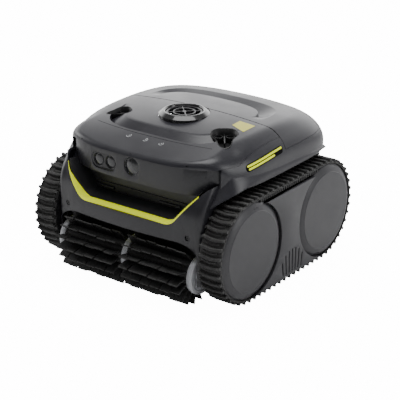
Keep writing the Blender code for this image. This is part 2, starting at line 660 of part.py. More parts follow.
# ---- top fittings -------------------------------------------------------------------------
def outlet():
    """Water outlet: conical collar, grille, duct, impeller and its motor."""
    base = crown(0.0, OUTLET_Y)
    rise = COLLAR_HEIGHT
    throat = OUTLET_THROAT
    turned("outlet_collar", [(throat + 0.004, base + rise), (OUTLET_RADIUS - 0.002, base + 0.001),
                             (OUTLET_RADIUS, base - 0.001), (OUTLET_RADIUS, base - 0.010),
                             (throat, base - 0.010), (throat, base + rise - 0.002)],
           (0, OUTLET_Y, 0), "z", GLOSS_BLACK, 32)
    grille = rod("outlet_grille", throat - GAP, (0, OUTLET_Y, base - 0.0005), 0.003, "z", GLOSS_BLACK, 32)
    inner = 0.6 * throat
    rib = 0.0016
    windows = []
    for quarter in range(4):
        start = quarter * pi / 2
        for low, high in ((0.0075, inner - rib), (inner + rib, throat - 0.003)):
            edge_low = rib / low
            edge_high = rib / high
            arc = [start + edge_high + (pi / 2 - 2 * edge_high) * i / 4 for i in range(5)]
            back = [start + edge_low + (pi / 2 - 2 * edge_low) * i / 2 for i in range(3)]
            loop = [(high * cos(a), OUTLET_Y + high * sin(a)) for a in arc]
            loop += [(low * cos(a), OUTLET_Y + low * sin(a)) for a in reversed(back)]
            windows.append(loop)
    for index, loop in enumerate(windows):
        cut(grille, flat("grille_window_%d" % index, [loop], base - 0.01, base + 0.01, "z"))

    duct_top = base - 0.0105
    duct_low = duct_top - 0.070
    turned("outlet_duct", [(throat + 0.002, duct_top), (throat + 0.002, duct_low), (throat, duct_low),
                           (throat, duct_top)], (0, OUTLET_Y, 0), "z", CHASSIS_BLACK, 32)
    hub_z = duct_top - 0.026
    impeller = rod("impeller", 0.0085, (0, OUTLET_Y, hub_z), 0.020, "z", GLOSS_BLACK, 20)
    for blade in range(5):
        angle = 2 * pi * blade / 5
        length = throat - 0.0015 - 0.004
        vane = box("impeller_vane_%d" % blade, (0.004, -0.0012, -0.009), (0.004 + length, 0.0012, 0.009))
        turn = Matrix.Rotation(angle, 4, 'Z') @ Matrix.Rotation(radians(52), 4, 'X')
        vane.matrix_world = Matrix.Translation((0, OUTLET_Y, hub_z)) @ turn
        join(impeller, vane)
    cut(impeller, rod("impeller_bore", 0.0025 + GAP, (0, OUTLET_Y, hub_z), 0.05, "z", sides=16))
    motor_top = hub_z - 0.016
    motor = rod("pump_motor", 0.022, (0, OUTLET_Y, motor_top - 0.030), 0.060, "z", BATTERY_GREY, 28)
    join(motor, rod("motor_shaft", 0.0025, (0, OUTLET_Y, motor_top + 0.012), 0.030, "z", sides=16))


def side_ports():
    """Shield-shaped inserts in the roof's front corners, each with a middle rib."""
    for side, word in ((-1, "left"), (1, "right")):
        surface = crown(PORT_X, PORT_Y)
        top = crown(PORT_X + PORT_HALF_WIDTH, PORT_Y - PORT_HALF_LENGTH) - 0.0045
        low = surface - 0.026
        insert = flat("port_insert_" + word, [port_outline(side)], low, top, "z", GLOSS_BLACK)
        for lobe in (-1, 1):
            well = [(side * PORT_X + lobe * (0.0015 + 0.0165 * (1 + cos(a)) / 2), PORT_Y + 0.004 + 0.018 * sin(a))
                    for a in [2 * pi * i / 14 for i in range(14)]]
            cut(insert, flat("port_well_%s_%d" % (word, lobe + 1), [well], low + 0.003, 0.4, "z"))


def side_strips():
    """Dark pill-shaped bezels in the shoulders, each with a lime double strip."""
    bar = 0.0034
    for side, word in ((-1, "left"), (1, "right")):
        slot = [(-0.046, -bar - GAP), (0.036, -bar - GAP), (0.036, bar + GAP), (-0.046, bar + GAP)]
        bezel = strip_piece("strip_bezel_" + word, side, [pill(STRIP_LENGTH, STRIP_HEIGHT)], -0.0070, 0.0006,
                            GLOSS_BLACK)
        strip_cut = strip_piece("strip_pocket_" + word, side,
                                [[(side * u, v) for u, v in slot]], -0.002, 0.02, LIME)
        cut(bezel, strip_cut)
        lamp = [(-0.0455, -bar), (0.022, -bar), (0.024, -0.0007), (-0.042, -0.0007), (-0.042, 0.0007),
                (0.0355, 0.0007), (0.0355, bar), (-0.0455, bar)]
        strip_piece("light_strip_" + word, side, [[(side * u, v) for u, v in lamp]], -0.0016, 0.0008, LIME)


# ---- chassis and insides ------------------------------------------------------------------
def chassis():
    """Tub between the tracks, with two arms that carry the brush roller."""
    low = Vector((-CHASSIS_HALF_WIDTH, CHASSIS_FRONT_Y, CHASSIS_LOW_Z))
    high = Vector((CHASSIS_HALF_WIDTH, CHASSIS_REAR_Y, FENDER_Z - GAP))
    wall = CHASSIS_WALL
    tub = box("chassis", low, high)
    for side, word in ((-1, "left"), (1, "right")):
        xs = sorted((side * CHASSIS_HALF_WIDTH, side * (CHASSIS_HALF_WIDTH - ARM_THICKNESS)))
        arm = [(CHASSIS_FRONT_Y + 0.002, 0.040), (BRUSH_Y + 0.030, 0.034), (BRUSH_Y, BRUSH_Z - 0.012),
               (BRUSH_Y - 0.011, BRUSH_Z - 0.007), (BRUSH_Y - 0.012, BRUSH_Z + 0.008), (BRUSH_Y - 0.006, 0.110),
               (BRUSH_Y - 0.006, FENDER_Z - GAP), (CHASSIS_FRONT_Y + 0.002, FENDER_Z - GAP)]
        join(tub, flat("brush_arm_" + word, [arm], xs[0], xs[1], "x"))
    cut(tub, box("tub_hollow", low + Vector((wall, wall, wall)), high + Vector((-wall, -wall, 0.05))))
    cut(tub, rod("brush_bearing_bore", SHAFT_RADIUS + GAP, (0, BRUSH_Y, BRUSH_Z), 0.5, sides=16))
    for y, word in ((FRONT_WHEEL_Y, "front"), (REAR_WHEEL_Y, "rear")):
        cut(tub, rod("axle_bore_" + word, AXLE_RADIUS + 0.0001 + GAP, (0, y, WHEEL_Z), 0.5, sides=16))
    cut(tub, box("inlet_room", (-INLET_HALF_WIDTH, INLET_FRONT_Y, 0.0), (INLET_HALF_WIDTH, INLET_REAR_Y, 0.035)))

    plate_high = CHASSIS_LOW_Z - GAP
    plate = box("base_plate", (-CHASSIS_HALF_WIDTH + 0.006, CHASSIS_FRONT_Y + 0.004, plate_high - 0.004),
                (CHASSIS_HALF_WIDTH - 0.006, CHASSIS_REAR_Y - 0.004, plate_high), CHASSIS_BLACK)
    cut(plate, box("inlet_mouth", (-INLET_HALF_WIDTH, INLET_FRONT_Y, 0.0), (INLET_HALF_WIDTH, INLET_REAR_Y, 0.05)))

    flap_low = CHASSIS_LOW_Z + wall + GAP
    box("suction_flap", (-INLET_HALF_WIDTH - 0.004, INLET_FRONT_Y - 0.004, flap_low),
        (INLET_HALF_WIDTH + 0.004, INLET_REAR_Y + 0.004, flap_low + 0.002), RUBBER_BLACK)


def insides():
    """Filter basket, battery, control box and motors inside the tub."""
    basket = box("filter_basket", (-BASKET_HALF_WIDTH, BASKET_FRONT_Y, BASKET_LOW_Z),
                 (BASKET_HALF_WIDTH, BASKET_REAR_Y, BASKET_HIGH_Z), BASKET_GREY)
    skin = 0.0025
    cut(basket, box("basket_hollow", (-BASKET_HALF_WIDTH + skin, BASKET_FRONT_Y + skin, BASKET_LOW_Z + skin),
                    (BASKET_HALF_WIDTH - skin, BASKET_REAR_Y - skin, BASKET_HIGH_Z + 0.05)))
    pitch = 2 * BASKET_HALF_WIDTH / 4
    for column in range(4):
        x = -BASKET_HALF_WIDTH + pitch * (column + 0.5)
        cut(basket, box("basket_window_%d" % column, (x - pitch / 2 + 0.005, 0.0, BASKET_LOW_Z + 0.012),
                        (x + pitch / 2 - 0.005, 0.3, BASKET_HIGH_Z - 0.014)))
    box("battery_pack", (-0.085, 0.045, CHASSIS_LOW_Z + CHASSIS_WALL + GAP), (0.085, 0.155, 0.100), BATTERY_GREY,
        bevel=0.004)
    box("control_box", (-0.070, 0.000, CHASSIS_LOW_Z + CHASSIS_WALL + GAP), (0.070, 0.038, 0.085), BATTERY_GREY,
        bevel=0.003)
    for side, word in ((-1, "left"), (1, "right")):
        inner = CHASSIS_HALF_WIDTH - CHASSIS_WALL - GAP
        xs = sorted((side * inner, side * (inner - 0.050)))
        gearbox = box("drive_gearbox_" + word, (xs[0], REAR_WHEEL_Y - 0.028, WHEEL_Z - 0.045),
                      (xs[1], REAR_WHEEL_Y + 0.028, WHEEL_Z + 0.020), BATTERY_GREY)
        cut(gearbox, rod("gearbox_bore_" + word, AXLE_RADIUS + 0.0001 + GAP,
                         (side * inner, REAR_WHEEL_Y, WHEEL_Z), 0.06, sides=16))
    start = max(CHASSIS_FRONT_Y + CHASSIS_WALL + GAP, FRONT_WHEEL_Y + AXLE_RADIUS + RUN)
    box("brush_gearbox", (CHASSIS_HALF_WIDTH - CHASSIS_WALL - GAP - 0.040, start, 0.060),
        (CHASSIS_HALF_WIDTH - CHASSIS_WALL - GAP, start + 0.0457, 0.130), BATTERY_GREY)


# ---- brush roller -------------------------------------------------------------------------
def brush_outline():
    """End view of a brush: a round core with straight lamellae."""
    points = []
    for fin in range(BRUSH_FINS):
        middle = pi + 2 * pi * fin / BRUSH_FINS
        tip = FIN_WIDTH / 2 / BRUSH_RADIUS
        root = FIN_WIDTH / 2 / BRUSH_CORE_RADIUS
        points.append((BRUSH_CORE_RADIUS, middle - root))
        points.append((BRUSH_RADIUS, middle - tip))
        points.append((BRUSH_RADIUS, middle + tip))
        points.append((BRUSH_CORE_RADIUS, middle + root))
    return [(BRUSH_Y + r * cos(a), BRUSH_Z + r * sin(a)) for r, a in points]


def brush_roller():
    """Two brushes, three roller discs and the shaft that carries them."""
    half = ROLLER_DISC_WIDTH / 2
    bore = circle(SHAFT_RADIUS + GAP, (BRUSH_Y, BRUSH_Z), 16)
    end = BRUSH_HALF_LENGTH - ROLLER_DISC_WIDTH
    for side, word in ((-1, "left"), (1, "right")):
        xs = sorted((side * (half + GAP), side * (end - GAP)))
        flat("brush_" + word, [brush_outline(), bore], xs[0], xs[1], "x", RUBBER_BLACK)
        xs = sorted((side * end, side * BRUSH_HALF_LENGTH))
        flat("roller_disc_" + word, [circle(ROLLER_DISC_RADIUS, (BRUSH_Y, BRUSH_Z), 32), bore], xs[0], xs[1], "x",
             ROLLER_GREY)
    flat("roller_disc_centre", [circle(ROLLER_DISC_RADIUS, (BRUSH_Y, BRUSH_Z), 32), bore], -half, half, "x",
         ROLLER_GREY)
    rod("brush_shaft", SHAFT_RADIUS, (0, BRUSH_Y, BRUSH_Z), 2 * (CHASSIS_HALF_WIDTH - 0.0005), "x", STEEL, 16)


# ---- tracks -------------------------------------------------------------------------------
def track_point(distance, radius):
    """Point at a distance along the belt, from its rearmost place, at a radius."""
    arc = pi * BELT_RADIUS
    length = 2 * arc + 2 * WHEELBASE
    s = distance % length
    if s < arc / 2 or s >= length - arc / 2:
        angle = (s if s < arc / 2 else s - length) / BELT_RADIUS
        return REAR_WHEEL_Y + radius * cos(angle), WHEEL_Z + radius * sin(angle)
    s -= arc / 2
    if s < WHEELBASE:
        return REAR_WHEEL_Y - s, WHEEL_Z + radius
    s -= WHEELBASE
    if s < arc:
        angle = pi / 2 + s / BELT_RADIUS
        return FRONT_WHEEL_Y + radius * cos(angle), WHEEL_Z + radius * sin(angle)
    s -= arc
    return FRONT_WHEEL_Y + s, WHEEL_Z - radius


def belt_outline():
    """Outer outline of a track belt with its lugs."""
    length = 2 * pi * BELT_RADIUS + 2 * WHEELBASE
    pitch = length / LUG_COUNT
    points = []
    for lug in range(LUG_COUNT):
        middle = lug * pitch
        points.append(track_point(middle - LUG_WIDTH / 2 - 0.0012, BELT_RADIUS))
        points.append(track_point(middle - LUG_WIDTH / 2, TRACK_RADIUS))
        points.append(track_point(middle + LUG_WIDTH / 2, TRACK_RADIUS))
        points.append(track_point(middle + LUG_WIDTH / 2 + 0.0012, BELT_RADIUS))
    return points


def stadium(radius, count=20):
    """Outline of two half circles round the wheels, joined by straight runs."""
    points = []
    for i in range(count + 1):
        angle = -pi / 2 + pi * i / count
        points.append((REAR_WHEEL_Y + radius * cos(angle), WHEEL_Z + radius * sin(angle)))
    for i in range(count + 1):
        angle = pi / 2 + pi * i / count
        points.append((FRONT_WHEEL_Y + radius * cos(angle), WHEEL_Z + radius * sin(angle)))
    return points


def tracks():
    """Belts, wheels, round caps, axles and the plates between the wheels, on both sides."""
    cap_in = TRACK_OUTER_X - COVER_DEPTH
    wheel_out = cap_in - GAP
    wheel_in = TRACK_INNER_X + 0.001
    depth = wheel_out - wheel_in
    for side, word in ((-1, "left"), (1, "right")):
        xs = sorted((side * TRACK_INNER_X, side * (TRACK_OUTER_X - 0.0005)))
        flat("track_belt_" + word, [belt_outline(), stadium(BELT_INNER_RADIUS)], xs[0], xs[1], "x", RUBBER_BLACK)
        for y, end in ((FRONT_WHEEL_Y, "front"), (REAR_WHEEL_Y, "rear")):
            tag = "%s_%s" % (end, word)
            hub = 0.016
            rim = WHEEL_RADIUS - 0.005
            bore = AXLE_RADIUS + GAP
            web = depth * 0.5
            turned("wheel_" + tag, [(bore, depth), (hub, depth), (hub, web), (rim, web), (rim, depth),
                                    (WHEEL_RADIUS, depth), (WHEEL_RADIUS, 0.0), (bore, 0.0)],
                   (side * wheel_in, y, WHEEL_Z), "x", CHASSIS_BLACK, 28, side)
            cap = WHEEL_RADIUS - 0.0015
            thick = COVER_DEPTH
            turned("wheel_cap_" + tag, [(0.0, thick), (cap * 0.82, thick), (cap * 0.95, thick - 0.0025),
                                        (cap, thick - 0.0050), (cap, 0.0), (0.0, 0.0)],
                   (side * cap_in, y, WHEEL_Z), "x", DISC_GREY, 32, side)
            inner = CHASSIS_HALF_WIDTH - CHASSIS_WALL - 0.012
            outer = wheel_out - 0.002
            rod("axle_" + tag, AXLE_RADIUS, (side * (inner + outer) / 2, y, WHEEL_Z), outer - inner, "x", STEEL, 16)
        side_plate(side, word)


def side_plate(side, word):
    """Plate inside the belt between the two wheels, with upright ribs at its foot."""
    reach = WHEELBASE / 2
    half = BELT_INNER_RADIUS - 0.0008
    xs = sorted((side * (TRACK_OUTER_X - COVER_DEPTH + 0.0005), side * (TRACK_OUTER_X - 0.001)))
    plate = box("track_plate_" + word, (xs[0], TRACK_SHIFT - reach, WHEEL_Z - half),
                (xs[1], TRACK_SHIFT + reach, WHEEL_Z + half), DISC_GREY)
    for y, end in ((FRONT_WHEEL_Y, "front"), (REAR_WHEEL_Y, "rear")):
        cut(plate, rod("plate_room_%s_%s" % (end, word), WHEEL_RADIUS + 0.0012, (side * TRACK_OUTER_X, y, WHEEL_Z),
                       0.06, "x", sides=48))
    face = side * (TRACK_OUTER_X - 0.001)
    for rib in range(SIDE_PLATE_RIBS):
        y = TRACK_SHIFT + (rib - (SIDE_PLATE_RIBS - 1) / 2) * 0.0105
        xs = sorted((face - side * 0.0012, face + side * 0.01))
        cut(plate, box("plate_groove_%s_%d" % (word, rib), (xs[0], y - 0.0012, WHEEL_Z - half + 0.005),
                       (xs[1], y + 0.0012, WHEEL_Z - half + 0.040)))


top_shells()
side_shells()
rear_socket()
front_end()
outlet()
side_ports()
side_strips()
chassis()
insides()
brush_roller()
tracks()
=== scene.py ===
"""Finished look of a tracked robotic pool cleaner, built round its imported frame."""

import logging
from dataclasses import dataclass, field
from enum import Enum
from math import atan2, cos, pi, radians, sin, sqrt
from typing import Callable, Iterable, Sequence

import bpy
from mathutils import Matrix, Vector


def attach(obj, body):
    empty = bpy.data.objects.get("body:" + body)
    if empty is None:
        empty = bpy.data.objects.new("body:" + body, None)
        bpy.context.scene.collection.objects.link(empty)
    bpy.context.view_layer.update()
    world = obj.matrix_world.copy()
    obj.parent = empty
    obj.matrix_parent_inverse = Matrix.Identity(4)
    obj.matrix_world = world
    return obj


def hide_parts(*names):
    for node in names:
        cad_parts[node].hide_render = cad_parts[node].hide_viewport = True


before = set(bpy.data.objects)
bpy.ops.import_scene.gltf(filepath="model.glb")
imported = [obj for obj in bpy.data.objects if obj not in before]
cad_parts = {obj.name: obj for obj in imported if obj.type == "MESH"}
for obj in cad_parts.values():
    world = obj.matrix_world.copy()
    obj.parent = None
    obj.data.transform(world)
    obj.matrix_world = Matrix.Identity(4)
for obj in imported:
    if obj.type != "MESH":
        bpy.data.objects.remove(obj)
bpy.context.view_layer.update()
log = logging.getLogger("pool_cleaner")

Point2 = tuple[float, float]
Point3 = tuple[float, float, float]
Colour = tuple[float, float, float]


class Side(Enum):
    """The machine's two sides, as seen from in front of it."""

    LEFT = -1
    RIGHT = 1

    @property
    def word(self) -> str:
        """The side's name, as node names end."""
        return self.name.lower()


SIDES = tuple((side.value, side.word) for side in Side)


# ---- bench: the few modelling moves that every class uses ------------------------------------
def deselect() -> None:
    """Leave object mode's selection empty."""
    if bpy.context.object and bpy.context.object.mode != "OBJECT":
        bpy.ops.object.mode_set(mode="OBJECT")
    bpy.ops.object.select_all(action="DESELECT")


def activate(piece: bpy.types.Object) -> None:
    """Make one object the only selected one and the active one.

    Args:
        piece: the object to work on.
    """
    deselect()
    piece.select_set(True)
    bpy.context.view_layer.objects.active = piece


def apply_modifier(piece: bpy.types.Object, kind: str, **settings: object) -> None:
    """Add a modifier, set it and apply it at once.

    Args:
        piece: the object that takes the modifier.
        kind: the modifier's type, such as "BEVEL".
        settings: values for the modifier's own fields.
    """
    activate(piece)
    modifier = piece.modifiers.new(kind.lower(), kind)
    for key, value in settings.items():
        setattr(modifier, key, value)
    bpy.ops.object.modifier_apply(modifier=modifier.name)


def soften(piece: bpy.types.Object, width: float, segments: int = 2, angle: float = 32.0) -> None:
    """Round every sharp edge a little, as a mould does.

    Args:
        piece: the object to soften.
        width: bevel width in metres.
        segments: faces across the bevel.
        angle: edges sharper than this many degrees are rounded.
    """
    apply_modifier(piece, "BEVEL", width=width, segments=segments, limit_method="ANGLE",
                   angle_limit=radians(angle), use_clamp_overlap=True, miter_outer="MITER_ARC")


def smooth(piece: bpy.types.Object, angle: float = 35.0) -> None:
    """Shade smooth, with edges sharper than an angle left crisp."""
    activate(piece)
    bpy.ops.object.shade_smooth_by_angle(angle=radians(angle), keep_sharp_edges=False)


def settle(piece: bpy.types.Object) -> None:
    """Move an object's place into its mesh, so that the object sits at the origin."""
    activate(piece)
    bpy.ops.object.transform_apply(location=True, rotation=True, scale=True)


def from_faces(name: str, points: Iterable[Point3], faces: Iterable[Sequence[int]]) -> bpy.types.Object:
    """Make an object straight from points and faces.

    Args:
        name: the object's name.
        points: vertex places in metres.
        faces: vertex numbers, face by face.

    Returns:
        The new object, linked to the scene.
    """
    mesh = bpy.data.meshes.new(name)
    mesh.from_pydata(list(points), [], list(faces))
    piece = bpy.data.objects.new(name, mesh)
    bpy.context.scene.collection.objects.link(piece)
    return piece


def outward(piece: bpy.types.Object, merge: bool = True) -> None:
    """Turn every face of a closed piece outwards.

    Args:
        piece: the piece, which may hold many closed bodies.
        merge: whether doubled points are merged first.
    """
    activate(piece)
    bpy.ops.object.mode_set(mode="EDIT")
    bpy.ops.mesh.select_all(action="SELECT")
    if merge:
        bpy.ops.mesh.remove_doubles(threshold=1e-6)
    bpy.ops.mesh.normals_make_consistent(inside=False)
    bpy.ops.object.mode_set(mode="OBJECT")


def refined(node: str, name: str, width: float = 0.0006, angle: float = 32.0,
            segments: int = 2) -> bpy.types.Object:
    """Copy a frame node into a new piece whose edges are rounded.

    Args:
        node: the frame node that is copied.
        name: the new piece's name.
        width: bevel width in metres.
        angle: edges sharper than this many degrees are rounded.
        segments: faces across each bevel.

    Returns:
        The new piece, merged, softened and shaded.
    """
    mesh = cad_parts[node].data.copy()
    mesh.name = name
    mesh.materials.clear()
    piece = bpy.data.objects.new(name, mesh)
    bpy.context.scene.collection.objects.link(piece)
    activate(piece)
    bpy.ops.object.mode_set(mode="EDIT")
    bpy.ops.mesh.select_all(action="SELECT")
    bpy.ops.mesh.remove_doubles(threshold=1e-5)
    bpy.ops.mesh.dissolve_limited(angle_limit=radians(0.6))
    bpy.ops.object.mode_set(mode="OBJECT")
    if width:
        soften(piece, width, segments, angle)
    smooth(piece)
    return piece


def cut_away(piece: bpy.types.Object, *tools: bpy.types.Object) -> None:
    """Cut closed tools out of a piece, and remove them.

    Args:
        piece: the piece that is cut.
        tools: the closed objects that are taken out of it.
    """
    for tool in tools:
        apply_modifier(piece, "BOOLEAN", object=tool, operation="DIFFERENCE", solver="MANIFOLD")
        bpy.data.objects.remove(tool)


def prism(name: str, outline: Sequence[Point2], low: float, high: float, axis: str = "z") -> bpy.types.Object:
    """Extrude a closed outline along an axis.

    Args:
        name: the object's name.
        outline: points in the plane across the axis: x, y for z; x, z for y; y, z for x.
        low: where the extrusion starts.
        high: where it ends.
        axis: "x", "y" or "z".

    Returns:
        The closed prism.
    """
    def at(point: Point2, along: float) -> Point3:
        u, v = point
        if axis == "x":
            return along, u, v
        if axis == "y":
            return u, along, v
        return u, v, along
    count = len(outline)
    points = [at(p, low) for p in outline] + [at(p, high) for p in outline]
    faces = [list(range(count)), list(range(2 * count - 1, count - 1, -1))]
    faces += [[i, i + count, (i + 1) % count + count, (i + 1) % count] for i in range(count)]
    piece = from_faces(name, points, faces)
    outward(piece)
    return piece


def lathe(name: str, profile: Sequence[Point2], centre: Point3, axis: str = "z",
          sides: int = 96, side: int = 1) -> bpy.types.Object:
    """Turn a profile once round an axis.

    Args:
        name: the object's name.
        profile: radius and height along the axis, point by point.
        centre: where the profile's height is nought.
        axis: "x", "y" or "z".
        sides: faces round the turn.
        side: -1 turns the height round, for the mirrored side.

    Returns:
        The turned piece, with its poles closed.
    """
    points: list[Point3] = []
    faces: list[list[int]] = []
    for i in range(sides):
        angle = 2 * pi * i / sides
        for radius, height in profile:
            u, v, w = radius * cos(angle), radius * sin(angle), height * side
            x, y, z = {"x": (w, u, v), "y": (u, w, v), "z": (u, v, w)}[axis]
            points.append((centre[0] + x, centre[1] + y, centre[2] + z))
    steps = len(profile)
    for i in range(sides):
        j = (i + 1) % sides
        for k in range(steps - 1):
            faces.append([i * steps + k, j * steps + k, j * steps + k + 1, i * steps + k + 1])
    piece = from_faces(name, points, faces)
    outward(piece)
    return piece


def weld(first: bpy.types.Object, *others: bpy.types.Object) -> bpy.types.Object:
    """Join finished bodies into one piece.

    Args:
        first: keeps its name.
        others: are joined to it.

    Returns:
        The joined piece.
    """
    activate(first)
    for other in others:
        other.select_set(True)
    bpy.ops.object.join()
    return first


def brick(name: str, low: Point3, high: Point3) -> bpy.types.Object:
    """Box from its lowest to its highest corner, with its place in its mesh."""
    middle = [(a + b) / 2 for a, b in zip(low, high)]
    bpy.ops.mesh.primitive_cube_add(size=1.0, location=middle)
    piece = bpy.context.object
    piece.name = name
    piece.scale = [b - a for a, b in zip(low, high)]
    settle(piece)
    return piece


def spline(stations: Sequence[Point3], steps: int, even: bool = True) -> list[Point3]:
    """Smooth line through stations, from the first to the last.

    Args:
        stations: the points that the line passes.
        steps: how many steps it is cut into.
        even: even steps along it; if not, even steps between stations, so that two lines pair up.

    Returns:
        One point more than there are steps.
    """
    ends = [stations[0], *stations, stations[-1]]
    walk = [0.0]
    for a, b in zip(stations, stations[1:]):
        walk.append(walk[-1] + ((Vector(b) - Vector(a)).length if even else 1.0))
    line = []
    for i in range(steps + 1):
        goal = walk[-1] * i / steps
        k = 0
        while k < len(walk) - 2 and walk[k + 1] < goal:
            k += 1
        t = (goal - walk[k]) / (walk[k + 1] - walk[k])
        p = [Vector(ends[k + j]) for j in range(4)]
        here = 0.5 * (2 * p[1] + (p[2] - p[0]) * t + (2 * p[0] - 5 * p[1] + 4 * p[2] - p[3]) * t * t
                      + (3 * p[1] - p[0] - 3 * p[2] + p[3]) * t ** 3)
        line.append(tuple(here))
    return line


def smoothstep(low: float, high: float, value: float) -> float:
    """Ease from 0 to 1 between two values."""
    share = min(max((value - low) / (high - low), 0.0), 1.0)
    return share * share * (3.0 - 2.0 * share)


# ---- finishes --------------------------------------------------------------------------------
class Sheet:
    """A node tree with short calls to add nodes and join them."""

    def __init__(self, tree: bpy.types.NodeTree) -> None:
        """Keep the tree that is drawn on."""
        self.tree = tree

    def add(self, kind: str, **settings: object) -> bpy.types.Node:
        """Add a node and set its fields.

        Args:
            kind: the node's type name.
            settings: fields to set, or sockets by their name with spaces as underscores.

        Returns:
            The node.
        """
        node = self.tree.nodes.new(kind)
        for key, value in settings.items():
            socket = key.replace("_", " ").title()
            if socket in node.inputs:
                self.feed(node.inputs[socket], value)
            else:
                setattr(node, key, value)
        return node

    def feed(self, socket: bpy.types.NodeSocket, value: object) -> None:
        """Link another node's socket to this one, or set its own value."""
        if isinstance(value, bpy.types.NodeSocket):
            self.tree.links.new(value, socket)
        else:
            socket.default_value = value

    def sum_of(self, operation: str, *values: object) -> bpy.types.NodeSocket:
        """Add a Math node, and give its result."""
        node = self.tree.nodes.new("ShaderNodeMath")
        node.operation = operation
        for socket, value in zip(node.inputs, values):
            self.feed(socket, value)
        return node.outputs[0]

    def blend(self, share: object, first: object, second: object) -> bpy.types.NodeSocket:
        """Mix two colours by a share, and give the result."""
        node = self.tree.nodes.new("ShaderNodeMix")
        node.data_type = "RGBA"
        self.feed(node.inputs[0], share)
        self.feed(node.inputs[6], first)
        self.feed(node.inputs[7], second)
        return node.outputs[2]

    def ramp(self, value: object, low: float, high: float, start: float = 0.0,
             end: float = 1.0) -> bpy.types.NodeSocket:
        """Map a value from one range to another, smoothly and clamped."""
        node = self.tree.nodes.new("ShaderNodeMapRange")
        node.interpolation_type = "SMOOTHSTEP"
        for socket, item in zip(node.inputs, (value, low, high, start, end)):
            self.feed(socket, item)
        return node.outputs[0]


def effect(name: str, inputs: dict[str, float], outputs: Sequence[str],
           draw: Callable[[Sheet, dict, bpy.types.Node], None]) -> bpy.types.NodeTree:
    """Build a shared effect as a node group, once.

    Args:
        name: the group's name.
        inputs: names and values of its inputs.
        outputs: names of its outputs, all plain values.
        draw: adds the group's nodes; it gets the sheet, the input sockets and the output node.

    Returns:
        The group.
    """
    group = bpy.data.node_groups.get(name)
    if group:
        return group
    group = bpy.data.node_groups.new(name, "ShaderNodeTree")
    for key, value in inputs.items():
        socket = group.interface.new_socket(name=key, in_out="INPUT", socket_type="NodeSocketFloat")
        socket.default_value = value
    for key in outputs:
        group.interface.new_socket(name=key, in_out="OUTPUT", socket_type="NodeSocketFloat")
    sheet = Sheet(group)
    entry = group.nodes.new("NodeGroupInput")
    leave = group.nodes.new("NodeGroupOutput")
    draw(sheet, {key: entry.outputs[key] for key in inputs}, leave)
    return group


def grain_effect() -> bpy.types.NodeTree:
    """Fine spark-eroded grain of moulded plastic: height, and two slow tone changes."""
    def draw(sheet: Sheet, given: dict, leave: bpy.types.Node) -> None:
        """Draw the group."""
        place = sheet.add("ShaderNodeTexCoord").outputs["Object"]
        fine = sheet.add("ShaderNodeTexNoise", vector=place, scale=given["Scale"], detail=3.0, roughness=0.6)
        pits = sheet.add("ShaderNodeTexVoronoi", vector=place)
        sheet.feed(pits.inputs["Scale"], sheet.sum_of("MULTIPLY", given["Scale"], 0.6))
        height = sheet.sum_of("ADD", sheet.sum_of("MULTIPLY", fine.outputs[0], 0.7),
                              sheet.sum_of("MULTIPLY", pits.outputs[0], 0.3))
        slow = sheet.add("ShaderNodeTexNoise", vector=place, scale=14.0, detail=4.0, roughness=0.55)
        sheet.feed(leave.inputs["Height"], height)
        sheet.feed(leave.inputs["Tone"], sheet.ramp(slow.outputs[0], 0.3, 0.7))
        sheet.feed(leave.inputs["Speck"], sheet.ramp(fine.outputs[0], 0.35, 0.65))
    return effect("moulded_grain", {"Scale": 1600.0}, ("Height", "Tone", "Speck"), draw)


def wear_effect() -> bpy.types.NodeTree:
    """Rubbed edges: a mask that is 1 on the sharpest outside edges, broken up by noise."""
    def draw(sheet: Sheet, given: dict, leave: bpy.types.Node) -> None:
        """Draw the group."""
        point = sheet.add("ShaderNodeNewGeometry").outputs["Pointiness"]
        place = sheet.add("ShaderNodeTexCoord").outputs["Object"]
        broken = sheet.add("ShaderNodeTexNoise", vector=place, scale=220.0, detail=4.0, roughness=0.6)
        edge = sheet.ramp(point, 0.52, 0.60)
        mask = sheet.sum_of("MULTIPLY", edge, sheet.ramp(broken.outputs[0], 0.35, 0.65))
        sheet.feed(leave.inputs["Mask"], sheet.sum_of("MULTIPLY", mask, given["Amount"]))
    return effect("edge_wear", {"Amount": 0.5}, ("Mask",), draw)


def dust_effect() -> bpy.types.NodeTree:
    """Thin film of dust and dried water on what faces up: a mask with soft patches."""
    def draw(sheet: Sheet, given: dict, leave: bpy.types.Node) -> None:
        """Draw the group."""
        normal = sheet.add("ShaderNodeNewGeometry").outputs["Normal"]
        place = sheet.add("ShaderNodeTexCoord").outputs["Object"]
        split = sheet.add("ShaderNodeSeparateXYZ", vector=normal)
        patch = sheet.add("ShaderNodeTexNoise", vector=place, scale=9.0, detail=6.0, roughness=0.62)
        speck = sheet.add("ShaderNodeTexNoise", vector=place, scale=900.0, detail=2.0)
        up = sheet.ramp(split.outputs[2], 0.2, 1.0)
        film = sheet.sum_of("MULTIPLY", sheet.ramp(patch.outputs[0], 0.40, 0.75),
                            sheet.ramp(speck.outputs[0], 0.35, 0.75, 0.35, 1.0))
        mask = sheet.sum_of("MULTIPLY", sheet.sum_of("MULTIPLY", up, film), given["Amount"])
        sheet.feed(leave.inputs["Mask"], mask)
    return effect("dust_film", {"Amount": 0.1}, ("Mask",), draw)


